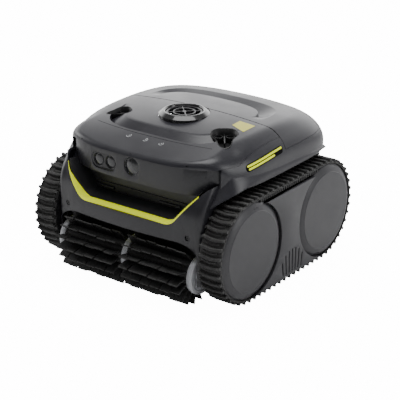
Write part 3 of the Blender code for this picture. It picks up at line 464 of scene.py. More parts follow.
def fibre_effect() -> bpy.types.NodeTree:
    """Drawn or brushed streaks along X: a tone and a height."""
    def draw(sheet: Sheet, given: dict, leave: bpy.types.Node) -> None:
        """Draw the group."""
        place = sheet.add("ShaderNodeTexCoord").outputs["Object"]
        long = sheet.add("ShaderNodeMapping", vector=place)
        long.inputs["Scale"].default_value = (0.03, 1.0, 1.0)
        streak = sheet.add("ShaderNodeTexNoise", vector=long.outputs[0], scale=given["Scale"], detail=3.0)
        sheet.feed(leave.inputs["Tone"], sheet.ramp(streak.outputs[0], 0.3, 0.7))
        sheet.feed(leave.inputs["Height"], streak.outputs[0])
    return effect("drawn_fibre", {"Scale": 1200.0}, ("Tone", "Height"), draw)


@dataclass(frozen=True)
class Finish:
    """One surface finish: its colour, gloss, grain, wear, dust and any painted glow."""

    name: str
    slot: str
    colour: Colour
    roughness: float
    metallic: float = 0.0
    grain_scale: float = 1600.0
    grain_depth: float = 0.00004
    mottle: float = 0.10
    wear: float = 0.25
    wear_colour: Colour = (0.16, 0.165, 0.175)
    dust: float = 0.05
    dust_colour: Colour = (0.42, 0.41, 0.38)
    coat: float = 0.0
    coat_roughness: float = 0.12
    specular: float = 0.5
    subsurface: float = 0.0
    drawn: bool = False
    transmission: float = 0.0
    # Emission with no lamp behind it: painted light.
    glow: float = 0.0

    def material(self) -> bpy.types.Material:
        """Build the material on its first use.

        Returns:
            The material of this finish.
        """
        made = bpy.data.materials.get("look_" + self.name)
        if made:
            return made
        made = bpy.data.materials.new("look_" + self.name)
        made.use_nodes = True
        sheet = Sheet(made.node_tree)
        shader = made.node_tree.nodes["Principled BSDF"]
        grain = sheet.add("ShaderNodeGroup", node_tree=grain_effect())
        grain.inputs["Scale"].default_value = self.grain_scale
        wear = sheet.add("ShaderNodeGroup", node_tree=wear_effect())
        wear.inputs["Amount"].default_value = self.wear
        dust = sheet.add("ShaderNodeGroup", node_tree=dust_effect())
        dust.inputs["Amount"].default_value = self.dust
        deep = tuple(c * (1.0 - self.mottle) for c in self.colour) + (1.0,)
        pale = tuple(min(c * (1.0 + self.mottle), 1.0) for c in self.colour) + (1.0,)
        tone = sheet.blend(grain.outputs["Tone"], deep, pale)
        speck = sheet.blend(sheet.sum_of("MULTIPLY", grain.outputs["Speck"], 0.35), tone, pale)
        worn = sheet.blend(wear.outputs["Mask"], speck, (*self.wear_colour, 1.0))
        dusty = sheet.blend(dust.outputs["Mask"], worn, (*self.dust_colour, 1.0))
        rough = sheet.ramp(grain.outputs["Tone"], 0.0, 1.0, self.roughness - 0.03, self.roughness + 0.04)
        rough = sheet.sum_of("ADD", rough, sheet.sum_of("MULTIPLY", dust.outputs["Mask"], 0.35))
        height = grain.outputs["Height"]
        if self.drawn:
            fibre = sheet.add("ShaderNodeGroup", node_tree=fibre_effect())
            height = sheet.sum_of("ADD", height, fibre.outputs["Height"])
            rough = sheet.sum_of("ADD", rough, sheet.sum_of("MULTIPLY", fibre.outputs["Tone"], 0.10))
        bump = sheet.add("ShaderNodeBump", height=height, strength=0.6, distance=self.grain_depth)
        sheet.feed(shader.inputs["Base Color"], dusty)
        sheet.feed(shader.inputs["Roughness"], rough)
        sheet.feed(shader.inputs["Normal"], bump.outputs[0])
        shader.inputs["Metallic"].default_value = self.metallic
        shader.inputs["Coat Weight"].default_value = self.coat
        shader.inputs["Coat Roughness"].default_value = self.coat_roughness
        shader.inputs["Specular IOR Level"].default_value = self.specular
        shader.inputs["Subsurface Weight"].default_value = self.subsurface
        shader.inputs["Subsurface Radius"].default_value = (0.004, 0.004, 0.004)
        shader.inputs["Transmission Weight"].default_value = self.transmission
        # Painted light: the surface glows in its own colour.
        if self.glow > 0.0:
            sheet.feed(shader.inputs["Emission Color"], dusty)
            shader.inputs["Emission Strength"].default_value = self.glow
        return made


SHELL = Finish("shell_satin", "shell_grey", (0.0215, 0.0215, 0.0272), 0.31, grain_depth=0.00003, mottle=0.04,
               wear=0.04, dust=0.012)
# Same shell plastic as SHELL, made darker for the bumper and fascia: painted shade for the dim light on the front.
SHADED_SHELL = Finish("front_satin", "shell_grey", (0.0145, 0.0145, 0.0185), 0.33, grain_depth=0.00003, mottle=0.04,
               wear=0.04, dust=0.012)
PANEL = Finish("panel_satin", "panel_grey", (0.0160, 0.0160, 0.0185), 0.40, mottle=0.05, wear=0.08, dust=0.015)
DISC = Finish("disc_satin", "disc_grey", (0.0310, 0.0310, 0.0355), 0.40, grain_depth=0.00005, mottle=0.05,
              wear=0.10, dust=0.02)
BLACK = Finish("chassis_satin", "chassis_black", (0.0125, 0.0125, 0.0145), 0.46, grain_depth=0.00004, mottle=0.05,
               wear=0.10, dust=0.02)
GLOSS = Finish("gloss_trim", "gloss_black", (0.008, 0.008, 0.009), 0.16, grain_depth=0.00001, wear=0.05, coat=0.5)
WELL = Finish("port_well", "gloss_black", (0.004, 0.004, 0.005), 0.45, grain_depth=0.00002, mottle=0.06, wear=0.10,
              wear_colour=(0.03, 0.03, 0.032), dust=0.0, specular=0.35)
RUBBER = Finish("track_rubber", "rubber_black", (0.012, 0.012, 0.012), 0.62, grain_scale=900.0, grain_depth=0.00015,
                wear=0.55, wear_colour=(0.075, 0.075, 0.075), dust=0.10)
# The glow is painted light on the lime accent, which is no lamp; the shoulder light strips share the finish and glow
# with it.
LIME = Finish("lime_accent", "lime", (0.72, 0.80, 0.008), 0.34, mottle=0.03, wear=0.0, dust=0.0, coat=0.15, glow=0.42)
ROLLER = Finish("roller_plastic", "roller_grey", (0.40, 0.41, 0.43), 0.42, mottle=0.05, wear=0.2,
                wear_colour=(0.70, 0.70, 0.71), subsurface=0.15)
STEEL = Finish("bright_steel", "steel", (0.55, 0.55, 0.56), 0.26, metallic=1.0, mottle=0.05, wear=0.0, drawn=True,
               grain_depth=0.00002)
CASE = Finish("motor_case", "battery_grey", (0.12, 0.13, 0.15), 0.50)
BASKET = Finish("basket_plastic", "basket_grey", (0.24, 0.25, 0.27), 0.46, subsurface=0.05)


GAP_BLACK = Finish("joint_black", "gloss_black", (0.002, 0.002, 0.002), 0.85, wear=0.0, dust=0.0, specular=0.1)
GRILLE = Finish("grille_satin", "gloss_black", (0.016, 0.016, 0.018), 0.30, wear=0.4, wear_colour=(0.14, 0.14, 0.15))
LENS = Finish("sensor_lens", "gloss_black", (0.020, 0.021, 0.024), 0.22, grain_depth=0.00001, wear=0.2, coat=0.4)
BRUSH = Finish("brush_pvc", "rubber_black", (0.009, 0.009, 0.009), 0.55, grain_scale=700.0, grain_depth=0.00012,
               wear=0.3, wear_colour=(0.035, 0.035, 0.035))
PRINT = Finish("printed_marks", "roller_grey", (0.42, 0.43, 0.44), 0.45, wear=0.0, dust=0.0)
LABEL = Finish("label_yellow", "lime", (0.66, 0.62, 0.09), 0.45, mottle=0.06, wear=0.0, dust=0.05)


def hand_over(piece: bpy.types.Object, finish: Finish, body: str = "root", *nodes: str) -> None:
    """Dress a finished piece, and tie it to the frame.

    Args:
        piece: the finished piece.
        finish: its surface.
        body: the frame body that it rides on.
        nodes: frame nodes that it stands for.
    """
    piece.data.materials.clear()
    piece.data.materials.append(finish.material())
    for face in piece.data.polygons:
        face.material_index = 0
    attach(piece, body)
    if nodes:
        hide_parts(*nodes)
    log.info("%s: %d faces on %s", piece.name, len(piece.data.polygons), body)


def dress(node: str, finish: Finish) -> None:
    """Give a frame node that stays its finished material."""
    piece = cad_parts[node]
    if not piece.material_slots:
        piece.data.materials.append(None)
    for slot in piece.material_slots:
        slot.material = finish.material()
    log.info("%s: kept, %s", node, finish.name)


# ---- studio ----------------------------------------------------------------------------------
@dataclass
class Studio:
    """Floor, light and camera."""

    camera_place: Point3 = (1.4027, -1.8534, 1.0540)
    azimuth: float = 36.744
    elevation: float = 22.152
    lens: float = 121.5

    def build(self) -> None:
        """Set up the floor, the lights, the surroundings and the camera."""
        bpy.ops.mesh.primitive_plane_add(size=60.0, location=(0, 0, 0))
        floor = bpy.context.object
        floor.name = "studio_floor"
        pale = bpy.data.materials.new("look_floor")
        pale.use_nodes = True
        shader = pale.node_tree.nodes["Principled BSDF"]
        shader.inputs["Base Color"].default_value = (0.93, 0.93, 0.93, 1.0)
        shader.inputs["Roughness"].default_value = 0.9
        seen = pale.node_tree.nodes.new("ShaderNodeLightPath").outputs["Is Camera Ray"]
        shader.inputs["Emission Color"].default_value = (1.0, 1.0, 1.0, 1.0)
        glow = pale.node_tree.nodes.new("ShaderNodeMath")
        glow.operation = "MULTIPLY"
        glow.inputs[1].default_value = 14.0
        pale.node_tree.links.new(seen, glow.inputs[0])
        pale.node_tree.links.new(glow.outputs[0], shader.inputs["Emission Strength"])
        floor.data.materials.append(pale)

        self.surroundings()
        self.softbox("softbox_top", (0.0, 0.1, 2.9), (0.0, 0.0, 0.2), 2.4, 1.8, 62.0)
        self.softbox("softbox_right", (3.0, 0.9, 1.3), (0.1, 0.0, 0.1), 1.0, 1.8, 26.0)
        self.softbox("softbox_left", (-2.8, -0.6, 1.3), (0.0, 0.0, 0.1), 0.8, 1.6, 16.0)

        data = bpy.data.cameras.new("view_camera")
        data.lens = self.lens
        data.sensor_width = 36.0
        data.clip_end = 100.0
        camera = bpy.data.objects.new("view_camera", data)
        bpy.context.scene.collection.objects.link(camera)
        a, e = radians(self.azimuth), radians(self.elevation)
        back = Vector((sin(a) * cos(e), -cos(a) * cos(e), sin(e)))
        camera.location = self.camera_place
        camera.rotation_euler = back.to_track_quat("Z", "Y").to_euler()
        bpy.context.scene.camera = camera

    def surroundings(self) -> None:
        """White surroundings: a bright low backdrop behind, dim overhead and in front."""
        world = bpy.data.worlds.new("studio_world")
        world.use_nodes = True
        sheet = Sheet(world.node_tree)
        ground = world.node_tree.nodes["Background"]
        way = sheet.add("ShaderNodeTexCoord").outputs["Generated"]
        split = sheet.add("ShaderNodeSeparateXYZ", vector=way)
        aft = sheet.sum_of("ADD", sheet.sum_of("MULTIPLY", split.outputs[1], 0.80),
                           sheet.sum_of("MULTIPLY", split.outputs[0], -0.60))
        low = sheet.ramp(split.outputs[2], 0.42, 0.66, 1.0, 0.0)
        backdrop = sheet.sum_of("MULTIPLY", sheet.ramp(aft, 0.05, 0.85, 0.0, 2.6), low)
        above = sheet.ramp(split.outputs[2], 0.1, 1.0, 0.10, 0.42)
        glow = sheet.sum_of("ADD", backdrop, above)
        seen = sheet.add("ShaderNodeLightPath").outputs["Is Camera Ray"]
        strength = sheet.sum_of("MAXIMUM", glow, sheet.sum_of("MULTIPLY", seen, 24.0))
        ground.inputs[0].default_value = (1.0, 1.0, 1.0, 1.0)
        sheet.feed(ground.inputs[1], strength)
        bpy.context.scene.world = world

    def softbox(self, name: str, place: Point3, target: Point3, width: float, height: float,
                power: float) -> None:
        """Hang one rectangular soft light.

        Args:
            name: the light's name.
            place: where it hangs.
            target: the point that it faces.
            width: its width in metres.
            height: its height in metres.
            power: its power in watts.
        """
        data = bpy.data.lights.new(name, "AREA")
        data.shape = "RECTANGLE"
        data.size = width
        data.size_y = height
        data.energy = power
        light = bpy.data.objects.new(name, data)
        light.location = place
        light.rotation_euler = (Vector(place) - Vector(target)).to_track_quat("Z", "Y").to_euler()
        bpy.context.scene.collection.objects.link(light)


# ---- body ------------------------------------------------------------------------------------
@dataclass
class BodyForm:
    """The smooth outer form that the cover, lid and side shells share."""

    half_width: float = 0.194
    front_y: float = -0.178
    rear_y: float = 0.205
    squareness: float = 3.65
    rear_squareness: float = 5.0
    roof_z: float = 0.286
    crest_y: float = 0.020
    side_crown: float = 0.34
    front_crown: float = 0.90
    front_ease: float = 0.60
    rear_crown: float = 0.60
    shoulder: float = 0.045
    lip: float = 0.008
    sides: int = 288
    groove_outer: tuple = (0.128, 0.120, 0.0045, 4.6)
    groove_inner: tuple = (0.110, 0.0895, -0.001, 4.0)
    groove_depth: float = 0.0110

    def __post_init__(self) -> None:
        """Work out the middle, the half length and evenly spaced angles."""
        self.mid_y = (self.front_y + self.rear_y) / 2
        self.half_length = (self.rear_y - self.front_y) / 2
        self.angles = self.even_angles(self.half_width, self.half_length, self.squareness)

    def even_angles(self, wide: float, long: float, squareness: float) -> list[float]:
        """Angles whose points lie evenly along a superellipse."""
        count = 8192
        walk = [0.0]
        last = self.oval(0.0, wide, long, 0.0, squareness)
        for i in range(1, count + 1):
            here = self.oval(2 * pi * i / count, wide, long, 0.0, squareness)
            walk.append(walk[-1] + sqrt((here[0] - last[0]) ** 2 + (here[1] - last[1]) ** 2))
            last = here
        angles = []
        step = 0
        for i in range(self.sides):
            goal = walk[-1] * (i + 0.5) / self.sides
            while walk[step + 1] < goal:
                step += 1
            share = (goal - walk[step]) / (walk[step + 1] - walk[step])
            angles.append(2 * pi * (step + share) / count)
        return angles

    @staticmethod
    def oval(angle: float, wide: float, long: float, mid_y: float, squareness: float) -> Point2:
        """Point of a superellipse in plan."""
        power = 2.0 / squareness
        c, s = cos(angle), sin(angle)
        return (wide * abs(c) ** power * (1 if c >= 0 else -1),
                mid_y + long * abs(s) ** power * (1 if s >= 0 else -1))

    def crown(self, x: float, y: float) -> float:
        """Height of the roof before its edge is rounded and its groove is pressed in."""
        fall = self.rear_crown
        if y < self.crest_y:
            fall = self.front_crown * (1.0 - self.front_ease * (x / self.half_width) ** 2)
        return self.roof_z - self.side_crown * x * x - fall * (y - self.crest_y) ** 2

    def outline(self, angle: float, inset: float) -> Point2:
        """Point of the body's outline in plan, set in from the outside."""
        square = self.rear_squareness if sin(angle) > 0 else self.squareness
        return self.oval(angle, self.half_width - inset, self.half_length - inset, self.mid_y, square)

    def edge(self, angle: float) -> float:
        """Radius of the roof's edge: a wide shoulder at the sides, a small lip in front."""
        x, y = self.outline(angle, 0.0)
        power = self.squareness - 1
        slope_x = abs(x / self.half_width) ** power / self.half_width
        slope_y = abs((y - self.mid_y) / self.half_length) ** power / self.half_length
        front = slope_y / sqrt(slope_x ** 2 + slope_y ** 2) if y < self.mid_y else 0.0
        return self.shoulder + (self.lip - self.shoulder) * smoothstep(0.30, 0.97, front)

    def skin(self, name: str, low_z: float, inset: float = 0.0, grooved: bool = True) -> bpy.types.Object:
        """Make the open skin of the form, down to a height.

        Args:
            name: the object's name.
            low_z: height of the open lower rim.
            inset: how far it is set in, for pieces that stand back.
            grooved: whether the roof's channel is pressed in.

        Returns:
            The skin, all quads but the middle of the roof.
        """
        wide, long, mid, square = self.groove_outer
        outer_angles = self.even_angles(wide, long, square)
        outer = [self.oval(a, wide, long, mid, square) for a in outer_angles]
        wide, long, mid, square = self.groove_inner
        inner = [self.oval(a, wide, long, mid, square) for a in self.even_angles(wide, long, square)]
        loops: list[list[Point3]] = []
        loops.append([(*self.outline(a, inset), low_z) for a in self.angles])
        edge_steps = 14
        for step in range(edge_steps + 1):
            turn = pi / 2 * step / edge_steps
            loop = []
            for a in self.angles:
                radius = self.edge(a) - min(inset, self.lip / 2)
                x, y = self.outline(a, inset + radius * (1 - cos(turn)))
                loop.append((x, y, self.crown(x, y) - inset - radius * (1 - sin(turn))))
            loops.append(loop)
        rim = [(p[0], p[1]) for p in loops[-1]]
        for step in range(1, 13):
            loops.append(self.between(rim, outer, step / 12, inset, 0.0, grooved))
        for share in (0.012, 0.03, 0.06, 0.12, 0.22, 0.34, 0.46, 0.58, 0.70, 0.80, 0.88, 0.94, 0.97, 0.988, 1.0):
            loops.append(self.between(outer, inner, share, inset, share, grooved))
        for step in range(1, 14):
            share = 1.0 - step / 14
            loops.append([(x * share, y * share, self.crown(x * share, y * share) - inset) for x, y in inner])
        count = self.sides
        points = [p for loop in loops for p in loop] + [(0.0, 0.0, self.crown(0.0, 0.0) - inset)]
        faces = []
        for ring in range(len(loops) - 1):
            for i in range(count):
                j = (i + 1) % count
                faces.append([ring * count + i, ring * count + j, (ring + 1) * count + j, (ring + 1) * count + i])
        last = (len(loops) - 1) * count
        faces += [[last + i, last + (i + 1) % count, len(points) - 1] for i in range(count)]
        return from_faces(name, points, faces)

    def between(self, first: list[Point2], second: list[Point2], share: float, inset: float, groove: float,
                grooved: bool) -> list[Point3]:
        """One loop of the roof between two outlines, with the channel pressed in."""
        loop = []
        for (ax, ay), (bx, by) in zip(first, second):
            x, y = ax + (bx - ax) * share, ay + (by - ay) * share
            drop = self.channel(y, groove) if grooved else 0.0
            loop.append((x, y, self.crown(x, y) - inset - drop))
        return loop

    def channel(self, y: float, share: float) -> float:
        """Depth of the channel, from its outer edge (share 0) to its inner edge (1)."""
        if share <= 0.0 or share >= 1.0:
            return 0.0
        fade = smoothstep(0.030, 0.078, abs(y - 0.002))
        ahead = share if y < 0 else 1.0 - share
        fall = smoothstep(0.0, 0.06, ahead)
        return self.groove_depth * fade * fall * (1.0 - ahead)


@dataclass
class Shells:
    """Top cover, filter lid, side shells with their fender bands, and the rear panel."""

    form: BodyForm = field(default_factory=BodyForm)
    wall: float = 0.0026
    gap: float = 0.0003
    seam_y: float = 0.0197
    seam: float = 0.0020
    cover_half: float = 0.178
    lip_z: float = 0.2465
    lid_edge_z: float = 0.2435
    skirt_z: float = 0.2045
    side_seam_x: float = 0.118
    front_room_x: float = 0.1660
    front_room_y: float = -0.100
    outlet_y: float = -0.0215
    outlet_radius: float = 0.0465
    crease: tuple = ((0.1600, 0.2105), (0.10, 0.2150), (0.03, 0.2185), (-0.02, 0.2210), (-0.06, 0.2240),
                     (-0.095, 0.2278), (-0.120, 0.2300))
    corner: tuple = ((0.1690, -0.1290, 0.2262), (0.1600, -0.1350, 0.2205), (0.1500, -0.1430, 0.2120),
                     (0.1440, -0.1640, 0.2050))
    ledge: tuple = ((0.1890, 0.1600, 0.2070), (0.1955, 0.100, 0.2090), (0.1965, 0.030, 0.2105),
                    (0.1965, -0.020, 0.2112), (0.1963, -0.060, 0.2112), (0.1945, -0.097, 0.2092),
                    (0.1895, -0.123, 0.2045), (0.1805, -0.1415, 0.1975), (0.1705, -0.1545, 0.1905),
                    (0.1625, -0.1640, 0.1840), (0.1560, -0.1720, 0.1790))

    def keep(self, piece: bpy.types.Object, point: Point3, normal: Point3) -> None:
        """Cut an open skin with a plane, and drop the side that the normal points at.

        Args:
            piece: the skin.
            point: a point of the plane.
            normal: points at the side that is removed.
        """
        activate(piece)
        bpy.ops.object.mode_set(mode="EDIT")
        bpy.ops.mesh.select_all(action="SELECT")
        bpy.ops.mesh.bisect(plane_co=point, plane_no=normal, clear_outer=True, clear_inner=False)
        bpy.ops.object.mode_set(mode="OBJECT")

    def thicken(self, piece: bpy.types.Object) -> None:
        """Give an open skin its wall, inwards."""
        apply_modifier(piece, "SOLIDIFY", thickness=self.wall, offset=-1.0, use_even_offset=True)

    def wall_x(self, y: float, inset: float = 0.0) -> float:
        """Half width of the body's outline at a place along it."""
        form = self.form
        share = min(abs(y - form.mid_y) / (form.half_length - inset), 1.0)
        square = form.rear_squareness if y > form.mid_y else form.squareness
        return (form.half_width - inset) * (1.0 - share ** square) ** (1.0 / square)

    def shoulder(self, side: int, y: float, turn: float, proud: float = 0.0) -> Point3:
        """Point of the rounded shoulder.

        Args:
            side: 1 right, -1 left.
            y: place along the body.
            turn: angle round the shoulder, 0 at the side wall and a quarter turn at the roof.
            proud: distance outside the surface.

        Returns:
            The point.
        """
        radius = self.form.shoulder
        x = self.wall_x(y, radius * (1 - cos(turn))) + proud * cos(turn)
        z = self.form.crown(x, y) - radius * (1 - sin(turn)) + proud * sin(turn)
        return side * x, y, z

    def build(self) -> None:
        """Make the shells."""
        self.top_cover()
        self.filter_lid()
        for side, word in SIDES:
            self.side_shell(side, word)
        self.rear()

    def top_cover(self) -> None:
        """Front half of the roof, with its lip, outlet bore, port openings and dots."""
        cover = self.form.skin("cover_top", 0.23)
        self.keep(cover, (self.cover_half, 0, 0), (1, 0, 0))
        self.keep(cover, (-self.cover_half, 0, 0), (-1, 0, 0))
        self.keep(cover, (0, self.seam_y - self.seam / 2, 0), (0, 1, 0))
        self.keep(cover, (0, 0, self.lip_z), (0, 0, -1))
        self.thicken(cover)
        reach = self.outlet_radius + self.gap
        cut_away(cover, lathe("outlet_bore", [(0.0, 0.2), (reach, 0.2), (reach, 0.32), (0.0, 0.32)],
                              (0, self.outlet_y, 0)))
        for side in (-1, 1):
            cut_away(cover, prism("port_bore", Ports.outline(side, self.gap), 0.2, 0.32))
        for x, y in ((0.0, -0.178), (0.1165, -0.1585), (-0.1165, -0.1585)):
            cut_away(cover, lathe("dot_bore", [(0.0, -0.010), (0.0020, -0.010), (0.0020, 0.004), (0.0, 0.004)],
                                  (x, y, 0.2512), "y", 20))
        smooth(cover, 28.0)
        hand_over(cover, SHELL, "root", "top_cover")
        score = self.score_line()
        hand_over(score, GAP_BLACK)

    def score_line(self) -> bpy.types.Object:
        """Thin dark joint across the front of the roof, ahead of the channel."""
        points, faces = [], []
        steps = 60
        for i in range(steps + 1):
            x = -0.128 + 0.256 * i / steps
            y = -0.1215 + 0.010 * (abs(x) / 0.128) ** 2.6
            for dy in (-0.00045, 0.00045):
                points.append((x, y + dy, self.form.crown(x, y + dy) + 0.00006))
        for i in range(steps):
            faces.append([2 * i, 2 * i + 2, 2 * i + 3, 2 * i + 1])
        line = from_faces("cover_score_line", points, faces)
        apply_modifier(line, "SOLIDIFY", thickness=0.0004, offset=-1.0)
        return line

    def filter_lid(self) -> None:
        """Rear half of the roof, down to its edge, with a hinge knuckle and its web."""
        lid = self.form.skin("lid_rear", 0.23)
        self.keep(lid, (0, self.seam_y + self.seam / 2, 0), (0, -1, 0))
        self.keep(lid, (0, 0, self.lid_edge_z + self.gap), (0, 0, -1))
        self.thicken(lid)
        reach = self.outlet_radius + self.gap
        cut_away(lid, lathe("lid_notch", [(0.0, 0.2), (reach, 0.2), (reach, 0.32), (0.0, 0.32)],
                            (0, self.outlet_y, 0)))
        smooth(lid, 28.0)
        pin_y, pin_z = self.form.rear_y + 0.0058, self.lid_edge_z + 0.0048
        knuckle = lathe("lid_knuckle", [(0.0025, -0.030), (0.0044, -0.030), (0.0044, 0.030), (0.0025, 0.030),
                                        (0.0025, -0.030)], (0, pin_y, pin_z), "x", 32)
        web = prism("lid_web", [(self.form.rear_y - 0.010, pin_z - 0.0040), (pin_y - 0.0030, pin_z - 0.0040),
                                (pin_y - 0.0030, pin_z + 0.0030), (self.form.rear_y - 0.010, pin_z + 0.0030)],
                    -0.029, 0.029, "x")
        hand_over(weld(lid, knuckle, web), SHELL, "lid", "filter_lid")

    def side_shell(self, side: int, word: str) -> None:
        """Side wall, and the fender band that runs into the bumper.

        Args:
            side: 1 right, -1 left.
            word: "left" or "right".
        """
        far = 0.5
        skin = self.form.skin("side_skin_" + word, self.skirt_z, grooved=False)
        self.keep(skin, (side * (self.side_seam_x + self.gap), 0, 0), (-side, 0, 0))
        self.thicken(skin)
        cover = self.cover_half + self.gap
        xs = sorted((side * 0.0, side * cover))
        cut_away(skin, brick("cover_room", (xs[0], -far, self.lip_z - self.gap), (xs[1], self.seam_y, 0.4)))
        cut_away(skin, brick("lid_room", (-far, self.seam_y - self.gap / 2, self.lid_edge_z - self.gap),
                             (far, far, 0.4)))
        xs = sorted((side * 0.0, side * self.front_room_x))
        cut_away(skin, brick("front_room", (xs[0], -far, 0.1), (xs[1], self.front_room_y, 0.4)))
        smooth(skin, 28.0)
        band = self.fender_band(side, word)
        shell = weld(skin, band)
        shell.name = "side_shell_look_" + word
        hand_over(shell, SHELL, "root", "side_shell_" + word)

    def fender_band(self, side: int, word: str) -> bpy.types.Object:
        """Band from the crease in the side wall out to the ledge over the track.

        Args:
            side: 1 right, -1 left.
            word: "left" or "right".

        Returns:
            The closed band, wrapping round the front corner.
        """
        inner = [(self.wall_x(y) - 0.0008, y, z) for y, z in self.crease] + list(self.corner)
        steps = 96
        upper = spline(inner, steps, even=False)
        outer = spline(self.ledge, steps, even=False)
        across = 8
        points, faces = [], []
        for top, low in zip(upper, outer):
            for k in range(across + 1):
                t = k / across
                swell = 4 * t * (1 - t) * 0.0016
                out = Vector((low[0] - top[0], low[1] - top[1], 0.0))
                out = out.normalized() if out.length > 1e-6 else Vector((1, 0, 0))
                sag = t ** 1.7
                x = top[0] + (low[0] - top[0]) * (0.6 * t + 0.4 * sag) + out.x * swell * 0.4
                y = top[1] + (low[1] - top[1]) * (0.6 * t + 0.4 * sag) + out.y * swell * 0.4
                z = top[2] + (low[2] - top[2]) * t + swell
                points.append((side * x, y, z))
        row = across + 1
        for i in range(steps):
            for k in range(across):
                quad = [i * row + k, i * row + k + 1, (i + 1) * row + k + 1, (i + 1) * row + k]
                faces.append(quad if side < 0 else quad[::-1])
        band = from_faces("fender_band_" + word, points, faces)
        apply_modifier(band, "SOLIDIFY", thickness=0.0040, offset=-1.0, use_even_offset=True)
        soften(band, 0.0011, 3, 40.0)
        smooth(band, 40.0)
        return band

    def rear(self) -> None:
        """Rear panel between the side shells, and the charging cover."""
        panel = refined("rear_panel", "rear_panel_look", 0.0005)
        hand_over(panel, SHELL, "root", "rear_panel")
        flap = refined("charging_cover", "charging_cover_look", 0.0005)
        hand_over(flap, RUBBER, "charging_cover", "charging_cover")


@dataclass
class FrontEnd:
    """Bumper, lime accent, recess, fascia and its sensors."""

    form: BodyForm = field(default_factory=BodyForm)
    front_y: float = -0.2005
    half: float = 0.1622
    corner: float = 0.014
    bow: float = 0.011
    wall: float = 0.004
    back_y: float = -0.146
    arch_z: float = 0.1215
    foot_z: float = 0.046
    foot_width: float = 0.009
    trim_low_z: float = 0.149
    trim_thickness: float = 0.0028
    trim_depth: float = 0.017
    bend_x: float = 0.102
    tip_x: float = 0.146
    tip_z: float = 0.202
    eye_x: float = -0.065
    eye_z: float = 0.2215
    eye_spacing: float = 0.027
    eye_radius: float = 0.0108
    face_y: float = -0.173
    centre_radius: float = 0.0165
    centre_z: float = 0.2265

    @staticmethod
    def lean(x: float, z: float) -> float:
        """How far the front stands back at its upper corners."""
        return 0.016 * max((z - 0.160) / 0.045, 0.0) ** 2 * smoothstep(0.085, 0.150, abs(x))

    def wrap_y(self, x: float, inset: float = 0.0) -> float:
        """Front surface of the bumper at a place across it."""
        span = self.half - self.corner
        if abs(x) <= span:
            return self.front_y + inset + self.bow * (x / span) ** 2
        radius = self.corner - inset
        reach = min(abs(x) - span, radius)
        return self.front_y + self.bow + self.corner - sqrt(max(radius ** 2 - reach ** 2, 0.0))

    def wrap(self, name: str, low: float, high: float) -> bpy.types.Object:
        """Curved front wall in plan, as a tall closed solid."""
        def line(inset: float) -> list[Point2]:
            """One face of the wall, right to left."""
            side_y = self.front_y + self.bow + self.corner
            radius = self.corner - inset
            right = [(self.half - inset, self.back_y)]
            right += [(self.half - inset - radius * (1 - cos(pi / 2 * i / 14)), side_y - radius * sin(pi / 2 * i / 14))
                      for i in range(15)]
            span = self.half - self.corner
            middle = [(span * (1 - i / 12), self.wrap_y(span * (1 - i / 12), inset)) for i in range(1, 24)]
            return right + middle + [(-x, y) for x, y in reversed(right)]
        return prism(name, line(0.0) + line(self.wall)[::-1], low, high)

    def trim_half(self, offset: float) -> list[Point2]:
        """Right half of the accent's line, from the bend to the tip, offset outwards."""
        slope = atan2(self.tip_z - self.trim_low_z - 0.004, self.tip_x - self.bend_x - 0.004)
        bend = 0.028 + offset
        centre = (self.bend_x - 0.014, self.trim_low_z + 0.028)
        points = [(centre[0] + bend * sin(slope * i / 12), centre[1] - bend * cos(slope * i / 12)) for i in range(13)]
        run = (self.tip_x - points[-1][0]) / cos(slope)
        for i in range(1, 15):
            points.append((points[12][0] + run * i / 14 * cos(slope), points[12][1] + run * i / 14 * sin(slope)))
        return points

    def build(self) -> None:
        """Make the front end."""
        self.bumper()
        self.accent()
        self.recess()
        self.fascia()
        self.sensors()

    def bumper(self) -> None:
        """Bumper face with the brush arch, legs, rolled edges and two dark screws."""
        top = self.trim_half(0.0003)
        arch = [(self.half - self.foot_width, self.foot_z)]
        side = self.half - self.foot_width
        spring = self.arch_z - 0.021
        for i in range(17):
            angle = pi / 2 * i / 16
            arch.append((side - 0.045 * (1 - cos(angle)), spring + (self.arch_z - spring) * sin(angle) ** 1.25))
        outer = [(self.tip_x + 0.002, 0.2055), (0.1530, 0.2110), (0.1580, 0.2160), (self.half + 0.002, 0.2205),
                 (self.half + 0.004, 0.165), (self.half + 0.002, self.foot_z + 0.010), (self.half - 0.002, self.foot_z)]
        right = top + outer + arch
        loop = right + [(-x, z) for x, z in reversed(right)]
        face = prism("bumper_look", loop, -0.5, -0.1, "y")
        apply_modifier(face, "BOOLEAN", object=self.wrap("bumper_wrap", 0.0, 0.3), operation="INTERSECT",
                       solver="EXACT")
        bpy.data.objects.remove(bpy.data.objects["bumper_wrap"])
        activate(face)
        bpy.ops.object.mode_set(mode="EDIT")
        bpy.ops.mesh.select_all(action="SELECT")
        for height in (0.166, 0.174, 0.182, 0.190, 0.198, 0.206):
            bpy.ops.mesh.bisect(plane_co=(0, 0, height), plane_no=(0, 0, 1))
            bpy.ops.mesh.select_all(action="SELECT")
        bpy.ops.object.mode_set(mode="OBJECT")
        for vertex in face.data.vertices:
            vertex.co.y += self.lean(vertex.co.x, vertex.co.z)
        for sign in (-1, 1):
            spot = (sign * 0.1345, self.wrap_y(0.1345), 0.1325)
            cut_away(face, lathe("dimple", [(0.0, -0.010), (0.0048, -0.010), (0.0048, 0.02), (0.0, 0.02)],
                                 spot, "y", 32))
        soften(face, 0.0013, 3, 40.0)
        smooth(face, 40.0)
        # The bumper gets the darker shell copy: painted shade for the dim front light.
        hand_over(face, SHADED_SHELL, "root", "front_bumper")
        for sign, word in SIDES:
            y = self.wrap_y(0.1345) + 0.0024
            screw = lathe("bumper_screw_look_" + word,
                          [(0.0, -0.0002), (0.0012, -0.0002), (0.0014, -0.0012), (0.0036, -0.0010), (0.0044, 0.0004),
                           (0.0044, 0.0060), (0.0, 0.0060)], (sign * 0.1345, y, 0.1325), "y", 40)
            smooth(screw, 40.0)
            hand_over(screw, BLACK, "root", "bumper_screw_" + word)

